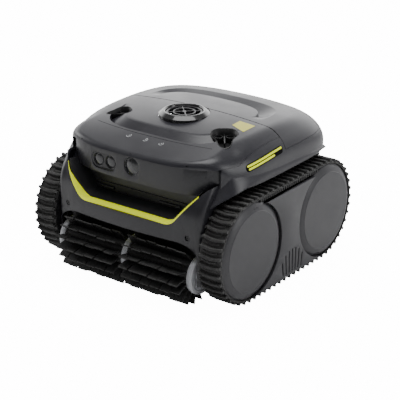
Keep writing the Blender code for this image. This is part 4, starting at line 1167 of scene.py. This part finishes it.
    def accent(self) -> None:
        """Lime accent: deep along the bottom, and drawn out to a point up each arm."""
        outer = self.trim_half(0.0)
        inner = self.trim_half(-self.trim_thickness)
        outer = [(-x, z) for x, z in reversed(outer)] + outer
        inner = [(-x, z) for x, z in reversed(inner)] + inner
        points, faces = [], []
        count = len(outer)
        for (ox, oz), (ix, iz) in zip(outer, inner):
            rise = smoothstep(0.155, self.tip_z + 0.004, oz)
            near = 1.0 - smoothstep(0.004, 0.030, abs(oz - 0.164) + 0.25 * max(self.bend_x - 0.008 - abs(ox), 0.0))
            depth = self.trim_depth * (1 - 0.80 * rise) * (0.24 + 1.05 * near)
            slim = 1.0 - 0.30 * rise
            ix, iz = ox + (ix - ox) * slim, oz + (iz - oz) * slim
            front = self.wrap_y(ox) + self.lean(ox, oz) + 0.0003
            points += [(ox, front, oz), (ix, front + 0.0006, iz), (ix, front + depth, iz + 0.0012 * (1 - rise)),
                       (ox, front + depth, oz)]
        for i in range(count - 1):
            for k in range(4):
                faces.append([4 * i + k, 4 * i + (k + 1) % 4, 4 * i + 4 + (k + 1) % 4, 4 * i + 4 + k])
        faces += [[0, 1, 2, 3], [4 * count - 1, 4 * count - 2, 4 * count - 3, 4 * count - 4]]
        trim = from_faces("accent_look", points, faces)
        outward(trim)
        soften(trim, 0.0008, 3, 40.0)
        smooth(trim, 40.0)
        # The lime finish's glow is painted light on the accent.
        hand_over(trim, LIME, "root", "accent_trim")

    def recess(self) -> None:
        """Dark tray behind the accent, with sloping walls, a back wall and two ribs."""
        line = self.trim_half(-self.trim_thickness - 0.0004)
        line = [(-x, z) for x, z in reversed(line)] + line
        points, faces = [], []
        count = len(line)
        rows = 6
        for row in range(rows + 1):
            share = row / rows
            for x, z in line:
                rise = smoothstep(0.155, self.tip_z, z)
                start = self.wrap_y(x) + self.lean(x, z) + self.trim_depth * (1 - 0.86 * rise) - 0.001
                y = start + (self.back_y + 0.001 - start) * share
                points.append((x * (1 - 0.05 * share), y, z + (0.1985 - z) * 0.10 * share))
        for row in range(rows):
            for i in range(count - 1):
                faces.append([row * count + i, row * count + i + 1, (row + 1) * count + i + 1, (row + 1) * count + i])
        last = rows * count
        for i in range(count // 2 - 1):
            faces.append([last + i, last + i + 1, last + count - 2 - i, last + count - 1 - i])
        tray = from_faces("recess_look", points, faces)
        apply_modifier(tray, "SOLIDIFY", thickness=0.0012, offset=1.0)
        smooth(tray, 40.0)
        ribs = []
        for x in (-0.086, 0.064):
            rib = brick("recess_rib", (x - 0.024, self.back_y - 0.0035, 0.1610),
                        (x + 0.024, self.back_y + 0.0014, 0.1655))
            soften(rib, 0.0011, 3)
            ribs.append(rib)
        long = brick("recess_step", (-0.095, self.back_y - 0.0022, 0.1705), (0.110, self.back_y + 0.0014, 0.1725))
        soften(long, 0.0007, 2)
        tray = weld(tray, long, *ribs)
        hand_over(tray, PANEL, "root", "recess_liner")

    def fascia(self) -> None:
        """Front wall under the lip, with the openings for the sensors."""
        shells = Shells()
        skin = self.form.skin("fascia_look", 0.1985, inset=0.005, grooved=False)
        shells.keep(skin, (0, -0.0950, 0), (0, 1, 0))
        shells.keep(skin, (0.1830, 0, 0), (1, 0, 0))
        shells.keep(skin, (-0.1830, 0, 0), (-1, 0, 0))
        shells.keep(skin, (0, 0, 0.2480), (0, 0, 1))
        shells.thicken(skin)
        cut_away(skin, prism("bezel_bore", self.pill(self.eye_x, self.eye_spacing + 0.0326, 0.0306), -0.3, -0.13, "y"))
        cut_away(skin, lathe("centre_bore", [(0.0, -0.05), (self.centre_radius + 0.0003, -0.05),
                                             (self.centre_radius + 0.0003, 0.05), (0.0, 0.05)],
                             (0, self.face_y, self.centre_z), "y", 64))
        soften(skin, 0.0005, 2, 60.0)
        smooth(skin, 30.0)
        # The fascia gets the darker shell copy: painted shade for the dim front light.
        hand_over(skin, SHADED_SHELL, "root", "front_fascia")

    def pill(self, x: float, length: float, height: float, steps: int = 20) -> list[Point2]:
        """Outline of a slot with round ends, in the front view."""
        radius = height / 2
        half = length / 2 - radius
        points = []
        for sign, start in ((1, -pi / 2), (-1, pi / 2)):
            for i in range(steps + 1):
                angle = start + pi * i / steps
                points.append((x + sign * half + radius * cos(angle), self.eye_z + radius * sin(angle)))
        return points

    def sensors(self) -> None:
        """Recessed bezel with two round eyes, and the round middle sensor."""
        bezel_y = self.face_y + 0.0048
        bezel = prism("bezel_look", self.pill(self.eye_x, self.eye_spacing + 0.032, 0.030), bezel_y, bezel_y + 0.0075,
                      "y")
        for sign, word in SIDES:
            place = (self.eye_x + sign * self.eye_spacing / 2, bezel_y, self.eye_z)
            reach = self.eye_radius + 0.0004
            cut_away(bezel, lathe("eye_bore", [(0.0, -0.01), (reach + 0.0012, -0.01), (reach + 0.0010, 0.0004),
                                               (reach, 0.0016), (reach, 0.02), (0.0, 0.02)], place, "y", 48))
        smooth(bezel, 30.0)
        hand_over(bezel, PANEL, "root", "sensor_bezel")
        for sign, word in SIDES:
            place = (self.eye_x + sign * self.eye_spacing / 2, bezel_y + 0.0012, self.eye_z)
            r = self.eye_radius
            profile = [(0.0, -0.0006), (r * 0.5, -0.0003), (r * 0.80, 0.0006), (r * 0.86, 0.0016),
                       (r * 0.92, 0.0016), (r * 0.97, 0.0004), (r, 0.0010), (r, 0.0060), (0.0, 0.0060)]
            lens = lathe("lens_look_" + word, profile, place, "y", 64)
            smooth(lens, 40.0)
            hand_over(lens, LENS, "root", "sensor_lens_" + word)
        r = self.centre_radius
        disc = lathe("centre_sensor_look", [(0.0, 0.0010), (r * 0.72, 0.0013), (r * 0.80, 0.0024), (r * 0.86, 0.0024),
                                            (r * 0.92, 0.0003), (r * 0.985, 0.0007), (r, 0.0018), (r, 0.0090),
                                            (0.0, 0.0090)], (0, self.face_y, self.centre_z), "y", 72)
        smooth(disc, 40.0)
        hand_over(disc, LENS, "root", "centre_sensor")


@dataclass
class Ports:
    """Heart-shaped side ports in the roof's front corners."""

    form: BodyForm = field(default_factory=BodyForm)
    depth: float = 0.015

    @staticmethod
    def centre(side: int) -> Point2:
        """Middle of a port in plan; the left one is smaller and sits further in."""
        return (0.1140, -0.0565) if side > 0 else (-0.1125, -0.0600)

    @staticmethod
    def outline(side: int, grow: float = 0.0) -> list[Point2]:
        """Outline in plan: two round lobes behind, drawn to a tip at the front corner.

        Args:
            side: 1 right, -1 left.
            grow: how far the outline is moved outwards.

        Returns:
            The closed outline, anticlockwise on the right.
        """
        points = []
        turn = atan2(-0.797, 0.603)
        for i in range(120):
            a = 2 * pi * i / 120
            lobe = (0.0262 if side > 0 else 0.0195) + 0.0010 * cos(2 * a)
            tip = (0.0270 if side > 0 else 0.0100) * max(cos(a), 0.0) ** 14
            notch = 0.0042 * max(-cos(a), 0.0) ** 9
            pinch = 0.0060 * max(cos(a), 0.0) * abs(sin(a)) ** 1.5
            r = lobe + tip - notch - pinch + grow
            u, v = r * cos(a), r * sin(a)
            cx, cy = Ports.centre(side)
            points.append((cx + side * (u * cos(turn) - v * sin(turn)), cy + u * sin(turn) + v * cos(turn)))
        return points

    def build(self) -> None:
        """Make both inserts."""
        for side, word in SIDES:
            self.insert(side, word)

    def insert(self, side: int, word: str) -> None:
        """One insert: a rim that follows the roof, a sloping well, two wells and a middle rib."""
        outline = self.outline(side)
        cx, cy = self.centre(side)
        rings = [(1.0, -0.0060), (1.0, -0.0002), (0.965, -0.0001), (0.93, -0.0012), (0.84, -0.0040), (0.78, -0.0075),
                 (0.70, -self.depth), (0.35, -self.depth - 0.001)]
        points, faces = [], []
        count = len(outline)
        for share, height in rings:
            for x, y in outline:
                px, py = cx + (x - cx) * share, cy + (y - cy) * share
                points.append((px, py, self.form.crown(px, py) + height))
        for k in range(len(rings) - 1):
            for i in range(count):
                j = (i + 1) % count
                faces.append([k * count + i, k * count + j, (k + 1) * count + j, (k + 1) * count + i])
        points.append((cx, cy, self.form.crown(cx, cy) - self.depth - 0.001))
        last = (len(rings) - 1) * count
        faces += [[last + i, last + (i + 1) % count, len(points) - 1] for i in range(count)]
        insert = from_faces("port_look_" + word, points, faces)
        activate(insert)
        if side < 0:
            bpy.ops.object.mode_set(mode="EDIT")
            bpy.ops.mesh.select_all(action="SELECT")
            bpy.ops.mesh.flip_normals()
            bpy.ops.object.mode_set(mode="OBJECT")
        apply_modifier(insert, "SOLIDIFY", thickness=0.0010, offset=-1.0)
        smooth(insert, 40.0)
        extras = []
        ax, ay = 0.603 * side, -0.797
        bx, by = 0.797 * side, 0.603
        base = self.form.crown(cx, cy)
        for lobe in (-1, 1):
            px = cx - ax * 0.006 + bx * lobe * 0.0105
            py = cy - ay * 0.006 + by * lobe * 0.0105
            ring = lathe("port_ring", [(0.0056, -0.015), (0.0086, -0.015), (0.0090, -0.0080), (0.0084, -0.0066),
                                       (0.0068, -0.0066), (0.0060, -0.0090), (0.0056, -0.015)],
                         (px, py, base), "z", 32)
            smooth(ring, 40.0)
            extras.append(ring)
        rib = prism("port_rib", [(cx - ax * 0.020 + bx * 0.0013, cy - ay * 0.020 + by * 0.0013),
                                 (cx - ax * 0.020 - bx * 0.0013, cy - ay * 0.020 - by * 0.0013),
                                 (cx + ax * 0.030 - bx * 0.0009, cy + ay * 0.030 - by * 0.0009),
                                 (cx + ax * 0.030 + bx * 0.0009, cy + ay * 0.030 + by * 0.0009)],
                    base - 0.0160, base - 0.0060)
        soften(rib, 0.0006, 2)
        extras.append(rib)
        insert = weld(insert, *extras)
        hand_over(insert, WELL, "root", "port_insert_" + word)


@dataclass
class Outlet:
    """Water outlet in the roof: cone collar and ring grille."""

    form: BodyForm = field(default_factory=BodyForm)
    y: float = -0.0215
    radius: float = 0.0465
    throat: float = 0.0335
    rise: float = 0.006

    def build(self) -> None:
        """Make the outlet's visible pieces."""
        base = self.form.crown(0.0, self.y)
        r, t, h = self.radius, self.throat, self.rise
        collar = lathe("collar_look", [(r - 0.0006, base - 0.0095), (r, base - 0.0090), (r, base + 0.0002),
                                       (r - 0.0012, base + 0.0010), (t + 0.0062, base + h - 0.0008),
                                       (t + 0.0048, base + h - 0.0001), (t + 0.0030, base + h),
                                       (t + 0.0016, base + h - 0.0006), (t + 0.0006, base + h - 0.0022),
                                       (t + 0.0001, base - 0.0095), (r - 0.0006, base - 0.0095)],
                       (0, self.y, 0), "z", 144)
        smooth(collar, 35.0)
        hand_over(collar, GLOSS, "root", "outlet_collar")
        top = base + 0.0028
        rings = []
        for inner, outer in ((t - 0.0042, t - 0.0004), (t * 0.55, t * 0.55 + 0.0024), (0.0, 0.0042)):
            profile = [(outer, top - 0.0030), (outer, top - 0.0006), (outer - 0.0005, top),
                       (inner + 0.0005, top), (inner, top - 0.0006), (inner, top - 0.0030), (outer, top - 0.0030)]
            if inner == 0.0:
                profile = [(0.0, top + 0.0004), (outer - 0.0006, top), (outer, top - 0.0008), (outer, top - 0.0030),
                           (0.0, top - 0.0030)]
            rings.append(lathe("grille_ring", profile, (0, self.y, 0), "z", 96))
        for quarter in range(4):
            angle = pi / 4 + quarter * pi / 2
            c, s = cos(angle), sin(angle)
            w = 0.00085
            spoke = prism("grille_spoke", [(0.003 * c - w * s, self.y + 0.003 * s + w * c),
                                           (0.003 * c + w * s, self.y + 0.003 * s - w * c),
                                           ((t - 0.002) * c + w * s, self.y + (t - 0.002) * s - w * c),
                                           ((t - 0.002) * c - w * s, self.y + (t - 0.002) * s + w * c)],
                          top - 0.0028, top + 0.0002)
            soften(spoke, 0.0003, 2)
            rings.append(spoke)
        grille = weld(*rings)
        grille.name = "grille_look"
        smooth(grille, 35.0)
        hand_over(grille, GRILLE, "root", "outlet_grille")


@dataclass
class Markings:
    """Status icons, the plain label and the lime strips in the shoulders."""

    shells: Shells = field(default_factory=Shells)
    strip_y: float = -0.0400
    strip_length: float = 0.104
    strip_turn: float = 22.0

    def build(self) -> None:
        """Make the markings."""
        self.icons()
        self.label()
        for side, word in SIDES:
            self.strip(side, word)

    def on_roof(self, name: str, outline: Sequence[Point2], low: float, high: float) -> bpy.types.Object:
        """Thin closed sheet that follows the roof."""
        form = self.shells.form
        count = len(outline)
        points = [(x, y, form.crown(x, y) + low) for x, y in outline]
        points += [(x, y, form.crown(x, y) + high) for x, y in outline]
        faces = [list(range(count))[::-1], list(range(count, 2 * count))]
        faces += [[i, (i + 1) % count, (i + 1) % count + count, i + count] for i in range(count)]
        piece = from_faces(name, points, faces)
        outward(piece)
        return piece

    def arc(self, x: float, y: float, radius: float, start: float, end: float, wide: float) -> list[Point2]:
        """Outline of a bent bar."""
        steps = 14
        outer = [(x + (radius + wide / 2) * cos(start + (end - start) * i / steps),
                  y + (radius + wide / 2) * sin(start + (end - start) * i / steps)) for i in range(steps + 1)]
        inner = [(x + (radius - wide / 2) * cos(start + (end - start) * i / steps),
                  y + (radius - wide / 2) * sin(start + (end - start) * i / steps)) for i in range(steps + 1)]
        return outer + inner[::-1]

    def icons(self) -> None:
        """Three small status marks, each a bent bar with a dot of its own."""
        marks = []
        y = -0.1335
        for x, turn in ((-0.037, 0.15), (0.0, 0.65), (0.035, 0.0)):
            start = pi * (1.0 + turn * 0.4)
            marks.append(self.on_roof("icon", self.arc(x, y, 0.0042, start, start + 1.35 * pi, 0.0011), 0.0, 0.00015))
            marks.append(self.on_roof("icon", self.arc(x + 0.0005, y + 0.0006, 0.0009, 0.0, 1.95 * pi, 0.0010),
                                      0.0, 0.00015))
        icons = weld(*marks)
        icons.name = "status_icons"
        hand_over(icons, PRINT)

    def label(self) -> None:
        """Plain yellow label on the roof."""
        rows = 12
        corners = ((0.1035, -0.0185), (0.1355, -0.0300), (0.1365, 0.0050), (0.1035, 0.0050))
        points, faces = [], []
        form = self.shells.form
        for i in range(rows + 1):
            for k in range(rows + 1):
                u, v = i / rows, k / rows
                x = ((1 - u) * (1 - v) * corners[0][0] + u * (1 - v) * corners[1][0] + u * v * corners[2][0]
                     + (1 - u) * v * corners[3][0])
                y = ((1 - u) * (1 - v) * corners[0][1] + u * (1 - v) * corners[1][1] + u * v * corners[2][1]
                     + (1 - u) * v * corners[3][1])
                points.append((x, y, form.crown(x, y) + 0.00025))
        row = rows + 1
        for i in range(rows):
            for k in range(rows):
                faces.append([i * row + k, (i + 1) * row + k, (i + 1) * row + k + 1, i * row + k + 1])
        sheet = from_faces("roof_label", points, faces)
        apply_modifier(sheet, "SOLIDIFY", thickness=0.00025, offset=-1.0)
        hand_over(sheet, LABEL)

    def strip(self, side: int, word: str) -> None:
        """Dark inlay in the shoulder with a long and a short lime bar.

        Args:
            side: 1 right, -1 left.
            word: "left" or "right".
        """
        radius = self.shells.form.shoulder

        def patch(name: str, start: float, end: float, low: float, high: float, proud: float,
                  thick: float) -> bpy.types.Object:
            """A bar with round ends that follows the shoulder."""
            points, faces = [], []
            steps, across = 48, 6
            half = (high - low) / 2
            for i in range(steps + 1):
                y = start + (end - start) * i / steps
                near = min(y - start, end - y)
                share = 1.0 if near >= half else sqrt(max(1 - ((half - near) / half) ** 2, 0.0004))
                for k in range(across + 1):
                    v = (low + high) / 2 + half * share * (2 * k / across - 1)
                    lift = 0.045 * (y - self.strip_y)
                    turn = radians(self.strip_turn) + (v + lift) / radius
                    points.append(self.shells.shoulder(side, y, turn, proud))
            row = across + 1
            for i in range(steps):
                for k in range(across):
                    quad = [i * row + k, i * row + k + 1, (i + 1) * row + k + 1, (i + 1) * row + k]
                    faces.append(quad if side < 0 else quad[::-1])
            piece = from_faces(name, points, faces)
            apply_modifier(piece, "SOLIDIFY", thickness=thick, offset=-1.0)
            soften(piece, 0.0003, 2, 50.0)
            smooth(piece, 40.0)
            return piece
        y0, y1 = self.strip_y - self.strip_length / 2, self.strip_y + self.strip_length / 2
        bezel = patch("strip_bezel_look_" + word, y0, y1, -0.0066, 0.0062, 0.0003, 0.0020)
        hand_over(bezel, GAP_BLACK, "root", "strip_bezel_" + word)
        long = patch("strip_long", y0 + 0.003, y1 - 0.002, 0.0009, 0.0044, 0.0008, 0.0018)
        short = patch("strip_short", y0 + 0.005, y1 - 0.026, -0.0046, -0.0011, 0.0008, 0.0018)
        lamp = weld(long, short)
        lamp.name = "light_strip_look_" + word
        hand_over(lamp, LIME, "root", "light_strip_" + word)


@dataclass
class Tracks:
    """Rubber belts, round wheel caps, the plates between them and the skirts."""

    wheel_radius: float = 0.088
    belt_inner: float = 0.0888
    belt_radius: float = 0.091
    track_radius: float = 0.097
    wheelbase: float = 0.2333
    shift: float = 0.0115
    outer_x: float = 0.2135
    width: float = 0.0505
    cap_depth: float = 0.0075
    lugs: int = 66

    def __post_init__(self) -> None:
        """Work out the wheels' places."""
        self.front_y = self.shift - self.wheelbase / 2
        self.rear_y = self.shift + self.wheelbase / 2
        self.z = self.track_radius

    def at(self, distance: float, radius: float) -> Point2:
        """Place on the belt's path, at a distance along it and a radius from the wheels."""
        arc = pi * self.belt_radius
        length = 2 * arc + 2 * self.wheelbase
        s = distance % length
        if s < arc / 2 or s >= length - arc / 2:
            angle = (s if s < arc / 2 else s - length) / self.belt_radius
            return self.rear_y + radius * cos(angle), self.z + radius * sin(angle)
        s -= arc / 2
        if s < self.wheelbase:
            return self.rear_y - s, self.z + radius
        s -= self.wheelbase
        if s < arc:
            angle = pi / 2 + s / self.belt_radius
            return self.front_y + radius * cos(angle), self.z + radius * sin(angle)
        return self.front_y + s - arc, self.z - radius

    def build(self) -> None:
        """Make both sides."""
        for side, word in SIDES:
            self.belt(side, word)
            for y, end in ((self.front_y, "front"), (self.rear_y, "rear")):
                self.cap(side, word, y, end)
            self.plate(side, word)

    def belt(self, side: int, word: str) -> None:
        """Belt with slightly bent cross bars, low bars between them, and drive teeth inside its upper run.

        Args:
            side: 1 right, -1 left.
            word: "left" or "right".
        """
        length = 2 * pi * self.belt_radius + 2 * self.wheelbase
        low_x, high_x = self.outer_x - self.width, self.outer_x - 0.0045
        base = self.belt_radius
        points: list[Point3] = []
        faces: list[list[int]] = []
        profile = [(low_x, self.belt_inner), (high_x, self.belt_inner), (high_x, base + 0.0006),
                   (high_x - 0.0012, base + 0.0012), (high_x - 0.0024, base + 0.0010), (high_x - 0.0032, base),
                   (low_x + 0.0014, base), (low_x, base - 0.0006)]
        steps = self.lugs * 3
        for i in range(steps):
            for x, radius in profile:
                y, z = self.at(length * i / steps, radius)
                points.append((side * x, y, z))
        row = len(profile)
        for i in range(steps):
            j = (i + 1) % steps
            for k in range(row):
                m = (k + 1) % row
                faces.append([i * row + k, i * row + m, j * row + m, j * row + k])

        def bar(middle: float, x0: float, x1: float, foot: float, crest: float, top: float, bend: float,
                cells: int) -> None:
            """Add one cross bar, bent along the belt."""
            start = len(points)
            for c in range(cells + 1):
                share = c / cells
                x = x0 + (x1 - x0) * share
                shift = bend * (1 - (2 * share - 1) ** 2) - bend * 0.5
                ends = 0.92 if c in (0, cells) else 1.0
                for offset, radius in ((-foot, base - 0.0006), (-crest, base + (top - base) * 0.86 * ends),
                                       (-crest * 0.55, base + (top - base) * ends),
                                       (crest * 0.55, base + (top - base) * ends),
                                       (crest, base + (top - base) * 0.86 * ends), (foot, base - 0.0006)):
                    y, z = self.at(middle + shift + offset, radius)
                    points.append((side * x, y, z))
            for c in range(cells):
                for k in range(5):
                    a = start + c * 6 + k
                    faces.append([a, a + 1, a + 7, a + 6])
                faces.append([start + c * 6 + 5, start + c * 6, start + c * 6 + 6, start + c * 6 + 11])
            faces.append([start + k for k in range(6)])
            faces.append([start + cells * 6 + 5 - k for k in range(6)])
        pitch = length / self.lugs
        top = self.track_radius
        for lug in range(self.lugs):
            middle = lug * pitch
            bar(middle, low_x + 0.0030, high_x, 0.0032, 0.0024, top, 0.0030, 12)
            bar(middle + pitch / 2, low_x + 0.0060, high_x - 0.0100, 0.0022, 0.0012, base + 0.0014, 0.0030, 8)
            bar(middle, low_x, low_x + 0.0026, 0.0026, 0.0020, top - 0.0004, 0.0, 1)
        for tooth in range(31):
            y = self.shift - 0.0900 + 0.0060 * tooth
            low_z, high_z = self.z + self.belt_inner - 0.0060, self.z + self.belt_inner + 0.0004
            start = len(points)
            for x in (high_x - 0.0060, high_x - 0.0006):
                points += [(side * x, y - 0.0013, low_z), (side * x, y + 0.0013, low_z),
                           (side * x, y + 0.0013, high_z), (side * x, y - 0.0013, high_z)]
            faces += [[start + k, start + (k + 1) % 4, start + 4 + (k + 1) % 4, start + 4 + k] for k in range(4)]
            faces += [[start, start + 1, start + 2, start + 3], [start + 7, start + 6, start + 5, start + 4]]
        belt = from_faces("track_belt_look_" + word, points, faces)
        outward(belt, merge=False)
        smooth(belt, 30.0)
        hand_over(belt, RUBBER, "root", "track_belt_" + word)

    def cap(self, side: int, word: str, y: float, end: str) -> None:
        """Round cap: a dark rim line, a bevelled ring and a flat face.

        Args:
            side: 1 right, -1 left.
            word: "left" or "right".
            y: the wheel's place.
            end: "front" or "rear".
        """
        r = self.wheel_radius - 0.0015
        t = self.cap_depth
        profile = [(0.0, t - 0.0002), (r * 0.30, t - 0.0001), (r * 0.846, t), (r * 0.852, t - 0.0003),
                   (r * 0.857, t - 0.0008), (r * 0.865, t - 0.0010), (r * 0.972, t - 0.0046), (r * 0.985, t - 0.0056),
                   (r, t - 0.0066), (r, 0.0002), (0.0, 0.0002)]
        cap = lathe("cap_look_%s_%s" % (end, word), profile, (side * (self.outer_x - t), y, self.z), "x", 160, side)
        smooth(cap, 22.0)
        hand_over(cap, DISC, "%s_wheel_%s" % (end, word), "wheel_cap_%s_%s" % (end, word))

    def plate(self, side: int, word: str) -> None:
        """Plate between the wheels, with an arched field of upright slots at its foot.

        Args:
            side: 1 right, -1 left.
            word: "left" or "right".
        """
        half = self.belt_inner - 0.0008
        reach = self.wheel_radius + 0.0002
        outline = []
        for sign_y, sign_z in ((1, -1), (1, 1), (-1, 1), (-1, -1)):
            wheel = self.shift + sign_y * self.wheelbase / 2
            arc = []
            for i in range(33):
                angle = pi / 2 * i / 32
                py = wheel - sign_y * reach * sin(angle)
                pz = self.z + sign_z * min(reach * cos(angle), half - (0.0090 if sign_z > 0 else 0.0))
                arc.append((py, pz))
            outline += arc if sign_z * sign_y < 0 else arc[::-1]
        xs = sorted((side * (self.outer_x - self.cap_depth + 0.0005), side * (self.outer_x - 0.0012)))
        plate = prism("plate_look_" + word, outline, xs[0], xs[1], "x")
        face = side * (self.outer_x - 0.0012)
        for slot in range(7):
            place = (slot - 3) / 3
            y = self.shift + 0.0075 + place * 0.0285
            top = self.z - half + 0.012 + 0.037 * sqrt(max(1.0 - (place * 0.86) ** 2, 0.02))
            low = self.z - half + 0.0060
            wide = 0.0017
            outline = [(y - wide, low), (y + wide, low)]
            outline += [(y + wide * cos(pi * i / 8) + 0.004 * place, top + wide * sin(pi * i / 8)) for i in range(9)]
            xs = sorted((face - side * 0.0016, face + side * 0.01))
            cut_away(plate, prism("slot_tool", outline, xs[0], xs[1], "x"))
        soften(plate, 0.0005, 2, 35.0)
        smooth(plate, 35.0)
        hand_over(plate, DISC, "root", "track_plate_" + word)
        xs = sorted((side * (self.outer_x - self.width - 0.0050), side * (self.outer_x - self.width - 0.0012)))
        skirt = brick("track_skirt_" + word, (xs[0], self.shift - 0.112, 0.0086), (xs[1], self.shift + 0.112, 0.0650))
        soften(skirt, 0.0010, 2)
        hand_over(skirt, BLACK)


@dataclass
class BrushRoller:
    """Two brushes of cut lamellae on round cores, with three light discs."""

    radius: float = 0.0588
    core: float = 0.030
    y: float = -0.16615
    z: float = 0.0600
    half_length: float = 0.1509
    disc_radius: float = 0.0360
    disc_width: float = 0.012
    rows: int = 18
    flap: float = 0.0215

    def build(self) -> None:
        """Make the roller."""
        for side, word in SIDES:
            self.brush(side, word)
            self.disc("disc_look_" + word, side * (self.half_length - self.disc_width / 2), "roller_disc_" + word)
        self.disc("disc_look_centre", 0.0, "roller_disc_centre")

    def brush(self, side: int, word: str) -> None:
        """One brush: a round core and rows of flaps, each bent a little differently.

        Args:
            side: 1 right, -1 left.
            word: "left" or "right".
        """
        start = self.disc_width / 2 + 0.0006
        end = self.half_length - self.disc_width - 0.0006
        profile = [(0.008, start), (self.core + 0.002, start), (self.core + 0.003, start + 0.001),
                   (self.core + 0.003, end - 0.001), (self.core + 0.002, end), (0.008, end), (0.008, start)]
        core = lathe("brush_look_" + word, profile, (0, self.y, self.z), "x", 72, side)
        points: list[Point3] = []
        faces: list[list[int]] = []
        count = int(round((end - start) / self.flap))
        width = (end - start) / count
        for row in range(self.rows):
            base = 2 * pi * row / self.rows
            for cell in range(count):
                sway = 0.5 - ((row * 7 + cell * 5 + (row * cell) % 3) % 11) / 10.0
                reach = self.radius - 0.0012 * abs(sway) - (0.0016 if (row + cell) % 5 == 0 else 0.0)
                x0 = start + cell * width + 0.0004
                x1 = x0 + width - 0.0008
                first = len(points)
                levels = 6
                for level in range(levels):
                    t = level / (levels - 1)
                    r = self.core + (reach - self.core) * t
                    lean = 0.05 * t * t * (1.2 + 0.9 * sway)
                    thick = 0.0015 * (1 - 0.30 * t)
                    pinch = 0.0006 * t ** 4
                    for x, sign in ((x0 + pinch, -1), (x1 - pinch, -1), (x1 - pinch, 1), (x0 + pinch, 1)):
                        angle = base + lean + sign * thick / r
                        points.append((side * x, self.y + r * cos(angle), self.z + r * sin(angle)))
                for level in range(levels - 1):
                    for k in range(4):
                        m = (k + 1) % 4
                        a = first + level * 4
                        faces.append([a + k, a + m, a + 4 + m, a + 4 + k])
                faces.append([first + (levels - 1) * 4 + k for k in range(4)])
                faces.append([first + 3 - k for k in range(4)])
        flaps = from_faces("brush_flaps", points, faces)
        outward(flaps, merge=False)
        smooth(flaps, 40.0)
        smooth(core, 40.0)
        brush = weld(core, flaps)
        hand_over(brush, BRUSH, "brush_roller", "brush_" + word)

    def disc(self, name: str, x: float, node: str) -> None:
        """One roller disc: rounded rim, a raised band and a dished face.

        Args:
            name: the new piece's name.
            x: its middle.
            node: the frame node that it stands for.
        """
        h, r = self.disc_width / 2 - 0.0003, self.disc_radius
        profile = [(0.0059, -h + 0.002), (0.012, -h + 0.002), (0.014, -h), (0.018, -h), (0.020, -h + 0.0022),
                   (r - 0.008, -h + 0.0022), (r - 0.006, -h), (r - 0.0015, -h), (r - 0.0003, -h + 0.0012), (r, -0.0012),
                   (r + 0.0004, 0.0), (r, 0.0012), (r - 0.0003, h - 0.0012), (r - 0.0015, h), (r - 0.006, h),
                   (r - 0.008, h - 0.0022), (0.020, h - 0.0022), (0.018, h), (0.014, h), (0.012, h - 0.002),
                   (0.0059, h - 0.002), (0.0059, -h + 0.002)]
        disc = lathe(name, profile, (x, self.y, self.z), "x", 96)
        smooth(disc, 40.0)
        hand_over(disc, ROLLER, "brush_roller", node)


def main() -> None:
    """Build the machine, sub-assembly by sub-assembly."""
    logging.basicConfig(level=logging.INFO, format="%(name)s: %(message)s")
    Studio().build()
    for part in (Shells(), FrontEnd(), Ports(), Outlet(), Markings(), Tracks(), BrushRoller()):
        part.build()
    looks = {"shell_grey": SHELL, "panel_grey": PANEL, "disc_grey": DISC, "chassis_black": BLACK,
             "gloss_black": GLOSS, "rubber_black": RUBBER, "lime": LIME, "roller_grey": ROLLER, "steel": STEEL,
             "battery_grey": CASE, "basket_grey": BASKET}
    for name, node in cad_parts.items():
        slot = node.material_slots[0].material.name.split(".")[0]
        dress(name, looks.get(slot, SHELL))


if __name__ == "__main__":
    main()
